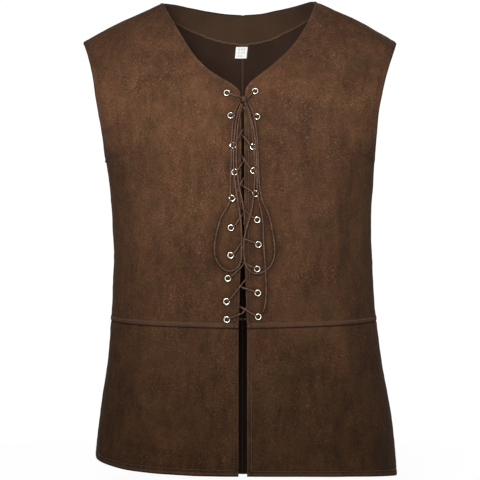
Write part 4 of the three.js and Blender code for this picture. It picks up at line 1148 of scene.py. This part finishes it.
eyelets = {side: [eyelet_frame(side, spot) for spot in eyelet_spots[side]] for side in (RIGHT, LEFT)}
for side, side_name in SIDE_NAMES.items():
    for part, (panels, width, length, area, rests_on) in CUTS.items():
        cloth = make_cloth(f"{part}_cloth_{side_name}", panels[side], f"{part}_{side_name}")
        if part == "front":
            cut_holes(cloth, eyelets[side])
        lines = upper_lines(panels[side]) if panels[side].has_yoke else skirt_lines(panels[side])
        stitching(f"{part}_stitches_{side_name}", lines)
    for i, (place, axis, _, _) in enumerate(eyelets[side], 1):
        ring = lathe(f"grommet_{side_name}_{i}", EYELET_PROFILE, place, axis, nickel)
        settle(ring, f"eyelet_{side_name}_{i}")
        # A collar of painted shade round each eyelet.
        ring_shade = lathe(f"ring_shade_suede_{side_name}_{i}", RING_SHADE_PROFILE, place, axis, ring_shade_suede)
        settle(ring_shade)


# Back neck facing: a band inside the back's neckline. Each cross line walks away from the neckline.
FACING_WIDTH = [(0, 0.046), (0.040, 0.042), (0.075, 0.034), (0.105, 0.026), (0.135, 0.023)]
FACING_STEPS = 24
FACING_GAP = 0.0003
FACING_THICKNESS = 0.0011


def walk_down(panel, s, distance):
    """The (u, s) of each step of lines that start at the neckline at s and cross the cloth."""
    u, s = np.zeros_like(s), s.copy()
    _, along_s = panel.slopes(u, s)
    heading = unit(np.cross(panel.normal(u, s), unit(along_s)))
    turned = (heading[:, 2] > 0) | (heading[:, 0] * panel.side < -0.01)
    heading[turned] *= -1
    pace = distance / FACING_STEPS
    stops = []
    for _ in range(FACING_STEPS):
        along_u, along_s = panel.slopes(u, s)
        a, b, c = (np.sum(p * q, -1) for p, q in ((along_u, along_u), (along_u, along_s), (along_s, along_s)))
        p, q = np.sum(along_u * heading, -1), np.sum(along_s * heading, -1)
        scale = a * c - b * b
        u = np.clip(u + pace * (p * c - q * b) / scale, 0, 1)
        s = np.clip(s + pace * (q * a - p * b) / scale, 0, panel.length)
        stops.append((u, s))
    return np.array([x[0] for x in stops]).T, np.array([x[1] for x in stops]).T


def facing_grid(lift_out, lift_in):
    halves = []
    for side in (RIGHT, LEFT):
        panel = backs[side]
        neck_length = panel.length - panel.neck_centre
        part = np.linspace(0.004, 0.985, 46)
        width = smooth_curve(column(FACING_WIDTH, 0), column(FACING_WIDTH, 1))(neck_length * part)
        u, s = walk_down(panel, panel.neck_centre + neck_length * part, width)
        place = panel.outer(u, s)
        height = creases(panel, place, u, s)
        normal = panel.normal(u, s)
        rows = [place + normal * (height - WALL - lift)[..., None] for lift in (lift_out, lift_in)]
        halves.append(rows if side == LEFT else [row[::-1] for row in rows])
    joined = []
    for right, left in zip(*halves):
        middle = (right[-1] + left[0]) / 2
        middle[:, 0] = 0
        joined.append(np.concatenate([right[:-1], middle[None], left[1:]]))
    return joined


facing_out, facing_in = facing_grid(FACING_GAP, FACING_GAP + FACING_THICKNESS)
facing_edge = np.clip(1 - np.abs(np.arange(FACING_STEPS) - (FACING_STEPS - 1.6)) / 0.9, 0, 1)
facing = shell("neck_facing_cloth", facing_in, facing_out, [facing_cloth, facing_cloth])
edge_values = np.repeat(facing_edge[None], facing_in.shape[0], axis=0).ravel()
give_attribute(facing, "overlock", np.concatenate([edge_values, edge_values]))
settle(facing, "back_neck_facing")

# Care label: a satin tab sewn in at its top, with plain marks.
LABEL_LEFT, LABEL_RIGHT, LABEL_TOP, LABEL_BOTTOM = -0.010, 0.008, -0.052, -0.069
LABEL_COLUMNS, LABEL_ROWS = 37, 35
LABEL_SLANT, LABEL_CURL, LABEL_BULGE = 0.0018, 0.0012, 0.0004
LABEL_BACK, LABEL_FACE = 0.0008, 0.0012
# Three rows of marks, the last one short.
LABEL_MARKS = [(across, down) for down in (0.22, 0.5, 0.78) for across in (0.30, 0.52, 0.74)][:8]
down, across = np.meshgrid(np.linspace(0, 1, LABEL_ROWS), np.linspace(0, 1, LABEL_COLUMNS), indexing="ij")


def label_grid(lift):
    """A face of the label, that far inside the back's cloth."""
    x = LABEL_LEFT + (LABEL_RIGHT - LABEL_LEFT) * across - LABEL_SLANT * down
    z = LABEL_TOP + (LABEL_BOTTOM - LABEL_TOP) * down
    curl = LABEL_CURL * down**2 + LABEL_BULGE * np.sin(across * math.pi) * down
    sides = []
    for side in (RIGHT, LEFT):
        u, s = backs[side].find(x, z)
        sides.append(backs[side].outer(u, s, -WALL - lift - curl))
    return np.where((x < 0)[..., None], *sides)


label = shell("label_tab", label_grid(LABEL_FACE), label_grid(LABEL_BACK), [label_tape, label_tape])
marks = np.zeros_like(down)
for mark_across, mark_down in LABEL_MARKS:
    ring = np.maximum(np.abs(across - mark_across) / 0.065, np.abs(down - mark_down) / 0.075)
    marks = np.maximum(marks, np.clip(1.2 - np.abs(ring - 0.8) * 3, 0, 0.8))
give_attribute(label, "mark", np.concatenate([marks.ravel(), marks.ravel()]))
settle(label, "care_label")


# Lace.
def catmull_rom(points, steps):
    """A centripetal curve through the points, in even steps between each pair."""
    points = np.array(points)
    padded = np.concatenate([[2 * points[0] - points[1]], points, [2 * points[-1] - points[-2]]])
    out = []
    for i in range(1, len(padded) - 2):
        p0, p1, p2, p3 = padded[i - 1 : i + 3]
        d0, d1, d2 = (max(np.linalg.norm(b - a) ** 0.5, 1e-6) for a, b in ((p0, p1), (p1, p2), (p2, p3)))
        m1 = ((p1 - p0) / d0 - (p2 - p0) / (d0 + d1) + (p2 - p1) / d1) * d1
        m2 = ((p2 - p1) / d1 - (p3 - p1) / (d1 + d2) + (p3 - p2) / d2) * d1
        for t in np.arange(steps) / steps:
            out.append(hermite(t, p1, p2, m1, m2))
    return np.array(out + [points[-1]])


def evenly(points, step):
    """Points a step apart on the line through the points, and how far along it each lies."""
    along = distances(points)
    at = np.linspace(0, along[-1], int(along[-1] / step) + 1)
    return between(at, along, points), at


lace_paths = []
LACE_SIDES = 14
LACE_STEP = 0.0011
BRAID_PITCH = 0.0042
# Painted shade on the lace: on its sides and back, near an eyelet below this height over it, and at the low
# bar behind the fronts.
LACE_SHADE_TURN = 0.95
EYELET_NEAR, EYELET_DARK, EYELET_LIGHT = 0.006, 0.0006, -0.0012
BAR_Z, BAR_LIFT, BAR_HALF_WIDTH, BAR_FADE = -0.461, -0.0046, 0.012, 0.004


def lace_tube(name, points, node=None):
    """A round cord along the points, with rounded ends and the braid's two crossing spirals."""
    centre, along = evenly(catmull_rom(points, 8), LACE_STEP)
    ahead = unit(np.gradient(centre, axis=0))
    up = unit(np.cross(ahead[0], (0.31, 0.2, 0.9)))
    grid, left, right = [], [], []
    turns = np.arange(LACE_SIDES) * 2 * math.pi / LACE_SIDES
    for i, (middle, forward) in enumerate(zip(centre, ahead)):
        up = unit(up - forward * np.dot(up, forward))
        across = np.cross(forward, up)
        to_end = min(along[i], along[-1] - along[i]) / LACE_RADIUS
        here = LACE_RADIUS * (0.45 + 0.55 * math.sqrt(1 - max(0, 1 - to_end) ** 2))
        grid.append(middle + here * (np.cos(turns)[:, None] * up + np.sin(turns)[:, None] * across))
        phase = 2 * math.pi * along[i] / BRAID_PITCH
        left.append(np.clip(np.sin(2 * turns + phase), 0, 1) ** 2)
        right.append(np.clip(np.sin(2 * turns - phase + 1.5), 0, 1) ** 2)
    grid = np.array(grid)
    outward = unit(grid - centre[:, None, :])
    count = len(grid)
    index = np.arange(count * LACE_SIDES).reshape(count, LACE_SIDES)
    beside = np.roll(index, -1, axis=1)
    faces = np.stack([index[:-1], beside[:-1], beside[1:], index[1:]], -1).reshape(-1, 4).tolist()
    faces += [index[0][::-1].tolist(), index[-1].tolist()]
    piece = new_mesh(name, grid.reshape(-1, 3), faces, [lace_cord])
    give_attribute(piece, "braid_left", np.array(left))
    give_attribute(piece, "braid_right", np.array(right))
    # Painted shade: dark where the cord faces away from the front, down in an eyelet and at the bar behind
    # the fronts.
    lace_shade = np.clip(LACE_SHADE_TURN + outward[..., 1], 0, 1)
    for place, axis, _, _ in eyelets[RIGHT] + eyelets[LEFT]:
        offset = grid - place
        near = np.linalg.norm(offset, axis=-1) < EYELET_NEAR
        sunk = smoothstep(-(offset @ axis), EYELET_LIGHT, EYELET_DARK)
        lace_shade = np.maximum(lace_shade, np.where(near, sunk, 0))
    behind = (np.abs(grid[..., 0]) < BAR_HALF_WIDTH) * bell(grid[..., 2] - BAR_Z, BAR_FADE)
    give_attribute(piece, "lace_shade", np.maximum(lace_shade, behind))
    lace_paths.append(centre)
    settle(piece, node)
    return piece, centre


GAP_EDGE_X = 0.009


def over_front(x, z, lift):
    """The point at x and z that lies lift above a front."""
    panel = fronts[RIGHT if x < 0 else LEFT]
    u, s = panel.find(x, z)
    return panel.outer(u, s) + panel.normal(u, s) * lift


def over_gap(x, z, lift):
    """The point over the opening, on the line between the two fronts."""
    share = (x + GAP_EDGE_X) / (2 * GAP_EDGE_X)
    return over_front(-GAP_EDGE_X, z, lift) * (1 - share) + over_front(GAP_EDGE_X, z, lift) * share


def over_vest(x, z, lift):
    return over_gap(x, z, lift) if abs(x) < GAP_EDGE_X else over_front(x, z, lift)


TURN_RADIUS, TURN_OUT, TURN_LIFT, TURN_RISE = 0.00375, 0.00325, -0.00085, 0.0016
CROSSING_LIFT = 0.0017
KNOT_X, KNOT_Z, KNOT_LIFT = 0.0013, -0.154, 0.0066


def through_eyelet(eyelet, leaves_down):
    """Points of the lace's half turn through an eyelet, from behind the front to over it."""
    place, axis, to_gap, up = eyelet
    points = []
    for angle in (-90, -45, 0, 45, 90):
        turn = math.radians(angle)
        rise = TURN_RISE / 90 * (-abs(angle) if leaves_down else angle)
        points.append(place + to_gap * (TURN_OUT - TURN_RADIUS * math.cos(turn))
                      + axis * (TURN_LIFT + TURN_RADIUS * math.sin(turn)) + up * rise)
    return points


GAP_ROWS = sorted([(row[1], row[2]) for row in FRONT_BODY] + [(row[2], row[1]) for row in FRONT_YOKE[:2]])


def gap_half_width(z):
    return float(smooth_curve(column(GAP_ROWS, 0), column(GAP_ROWS, 1))(z))


def across_gap(side, gap_z, start, end, extra_lift):
    """Points of the lace from over its own front to behind the other."""
    half = gap_half_width(gap_z)
    points = []
    for i, (beyond_edge, from_edge, lift) in enumerate(GAP_PASS):
        reach_out = half + beyond_edge * from_edge if beyond_edge else 0
        x = side * (1 if i < 2 else -1) * reach_out
        towards = start if i < 2 else end
        z = gap_z + (towards[2] - gap_z) * abs(x / towards[0])
        points.append(over_gap(x, z, lift + (extra_lift if i == 2 else 0)))
    return points


def lace_run(first_side):
    """Points of one run of lace, from behind the lowest eyelets up to the knot."""
    points = [over_gap(first_side * x, BAR_Z, BAR_LIFT) for x in (SEAM_GAP, GAP_EDGE_X)]
    side = first_side
    for row in range(len(EYELETS) - 1, -1, -1):
        turn = through_eyelet(eyelets[side][row], row == 0)
        points += turn
        if row > 0:
            following = through_eyelet(eyelets[-side][row - 1], row == 1)
            gap_z = GAP_CROSSINGS[row - 1][0 if side == RIGHT else 1]
            extra = CROSSING_LIFT * side if gap_half_width(gap_z) > 0.003 else 0
            points += across_gap(side, gap_z, turn[4], following[0], extra)
            side = -side
    return points + [over_vest(side * 0.011, -0.1482, 0.0042),
                     over_vest(side * 0.0064 + KNOT_X, -0.1508, KNOT_LIFT)]


for side, side_name in SIDE_NAMES.items():
    lace_tube(f"laced_cord_{side_name}", lace_run(side), f"lace_run_{side_name}")

knot_centre = over_vest(KNOT_X, KNOT_Z, KNOT_LIFT)


def knot_wrap(tilt, half_width, half_depth, turns, rise):
    """Points of a cord wound about the knot, its axis leaning by tilt degrees from the vertical."""
    lean = math.radians(tilt)
    points = []
    for i in range(int(turns * 14) + 1):
        turn = -math.pi / 2 + 2 * math.pi * i / 14
        x, y = half_width * math.cos(turn), half_depth * math.sin(turn)
        z = rise * (i / (turns * 14) - 0.5) * 2
        points.append(knot_centre + np.array([x * math.cos(lean) - z * math.sin(lean), y,
                                              x * math.sin(lean) + z * math.cos(lean)]))
    return points


lace_tube("knot_band", knot_wrap(-24, 0.0050, 0.0036, 1.6, 0.0020), "bow_knot")
lace_tube("knot_cross", knot_wrap(62, 0.0040, 0.0030, 1.25, 0.0012))

# Free laces: name, points, where the far end is, and the real length.
FREE_LACES = [
    ("loop_right", LOOP_RIGHT, "object", 0.50),
    ("loop_left", LOOP_LEFT, "object", 0.50),
    ("tail_right", TAIL_RIGHT, "bare", 0.172),
    ("tail_left", TAIL_LEFT, "bare", 0.296),
]
for name, rows, far_end, length in FREE_LACES:
    points = [over_vest(*row) for row in rows]
    piece, path = lace_tube(f"{name}_cord", points, name)


# The suede lies in shade beside the laces: how dark, up to what distance, and how far it fades.
SHADE, SHADE_FROM, SHADE_FADE, LACED_HALF_WIDTH = 0.80, 0.0015, 0.0042, 0.06
laces = np.concatenate(lace_paths)
for side, side_name in SIDE_NAMES.items():
    for part in ("front_cloth", "front_skirt_cloth"):
        piece = bpy.data.objects[f"{part}_{side_name}"]
        places = np.zeros(len(piece.data.vertices) * 3, np.float32)
        piece.data.vertices.foreach_get("co", places)
        places = places.reshape(-1, 3)
        shade = np.zeros(len(places))
        close = np.nonzero(np.abs(places[:, 0]) < LACED_HALF_WIDTH)[0]
        for chunk in np.array_split(close, 24):
            if len(chunk):
                away = np.min(np.linalg.norm(places[chunk][:, None] - laces[None], axis=-1), axis=1)
                shade[chunk] = SHADE * np.exp(-np.clip(away - SHADE_FROM, 0, 1) / SHADE_FADE)
        give_attribute(piece, "shaded", shade)


# Stage: a pale floor, a white backdrop all round, and soft light from the front and above.
FLOOR_Z, FLOOR_RADIUS, BACKDROP_RADIUS = -0.735, 0.75, 9
CAMERA_PLACE, CAMERA_LENS = (-0.00385, -2.2, -0.350), 111.5
WHITE = (1, 1, 1, 1)


def emission(name, strength, diffuse=None):
    """A white that glows by itself, with some matt white added where diffuse is given."""
    material = bpy.data.materials.new(name)
    material.use_nodes = True
    nodes, links = material.node_tree.nodes, material.node_tree.links
    nodes.remove(nodes["Principled BSDF"])
    glow = nodes.new("ShaderNodeEmission")
    glow.inputs["Color"].default_value, glow.inputs["Strength"].default_value = WHITE, strength
    output = nodes["Material Output"]
    if diffuse is None:
        links.new(glow.outputs[0], output.inputs["Surface"])
        return material
    matt = nodes.new("ShaderNodeBsdfDiffuse")
    matt.inputs["Color"].default_value = (diffuse, diffuse, diffuse, 1)
    both = nodes.new("ShaderNodeAddShader")
    links.new(glow.outputs[0], both.inputs[0])
    links.new(matt.outputs[0], both.inputs[1])
    links.new(both.outputs[0], output.inputs["Surface"])
    return material


def disc(name, radius, z, material, sides=96):
    turns = [2 * math.pi * i / sides for i in range(sides)]
    points = [(radius * math.cos(turn), radius * math.sin(turn), z) for turn in turns]
    return new_mesh(name, points, [list(range(sides))], [material])


bpy.ops.mesh.primitive_uv_sphere_add(
    segments=64, ring_count=32, radius=BACKDROP_RADIUS, location=(0, 0, CAMERA_PLACE[2])
)
backdrop = bpy.context.object
backdrop.name = "backdrop"
backdrop.data.materials.append(emission("backdrop_white", 1.05))
floor = disc("floor", FLOOR_RADIUS, FLOOR_Z, emission("floor_pale", 0.93, 0.12))
for stage_piece in (backdrop, floor):
    stage_piece.visible_diffuse = False
    stage_piece.visible_shadow = False

world = bpy.context.scene.world or bpy.data.worlds.new("studio")
bpy.context.scene.world = world
world.use_nodes = True
background = world.node_tree.nodes["Background"]
background.inputs["Color"].default_value, background.inputs["Strength"].default_value = WHITE, 0.10


def area_light(name, place, size, watts, target, spread=180):
    """A soft round light that shines from place towards target."""
    data = bpy.data.lights.new(name, "AREA")
    data.shape, data.size, data.energy, data.spread = "DISK", size, watts, math.radians(spread)
    light = bpy.data.objects.new(name, data)
    bpy.context.scene.collection.objects.link(light)
    light.location = place
    light.visible_camera = False
    light.rotation_euler = (Vector(target) - Vector(place)).to_track_quat("-Z", "Y").to_euler()


area_light("key", (-0.14, -1.12, -0.08), 0.45, 4.7, (-0.02, -0.12, -0.19), 100)
area_light("fill", (0.9, -1.6, -0.25), 1.1, 3.8, (0, 0, -0.30))
area_light("back_key", (0.5, 1.9, 0.5), 1.0, 19, (0, 0, -0.28))
area_light("side_right", (-2.0, 0.7, 0.2), 1.0, 1.6, (0, 0, -0.30))
area_light("side_left", (2.0, 0.7, 0.2), 1.0, 1.6, (0, 0, -0.30))

camera = bpy.data.objects.new("camera", bpy.data.cameras.new("camera"))
bpy.context.scene.collection.objects.link(camera)
camera.location = CAMERA_PLACE
camera.rotation_euler = (math.pi / 2, 0, 0)
camera.data.sensor_width = 36
camera.data.lens = CAMERA_LENS
camera.data.clip_end = 50
bpy.context.scene.camera = camera
bpy.context.scene.view_settings.view_transform = "Standard"
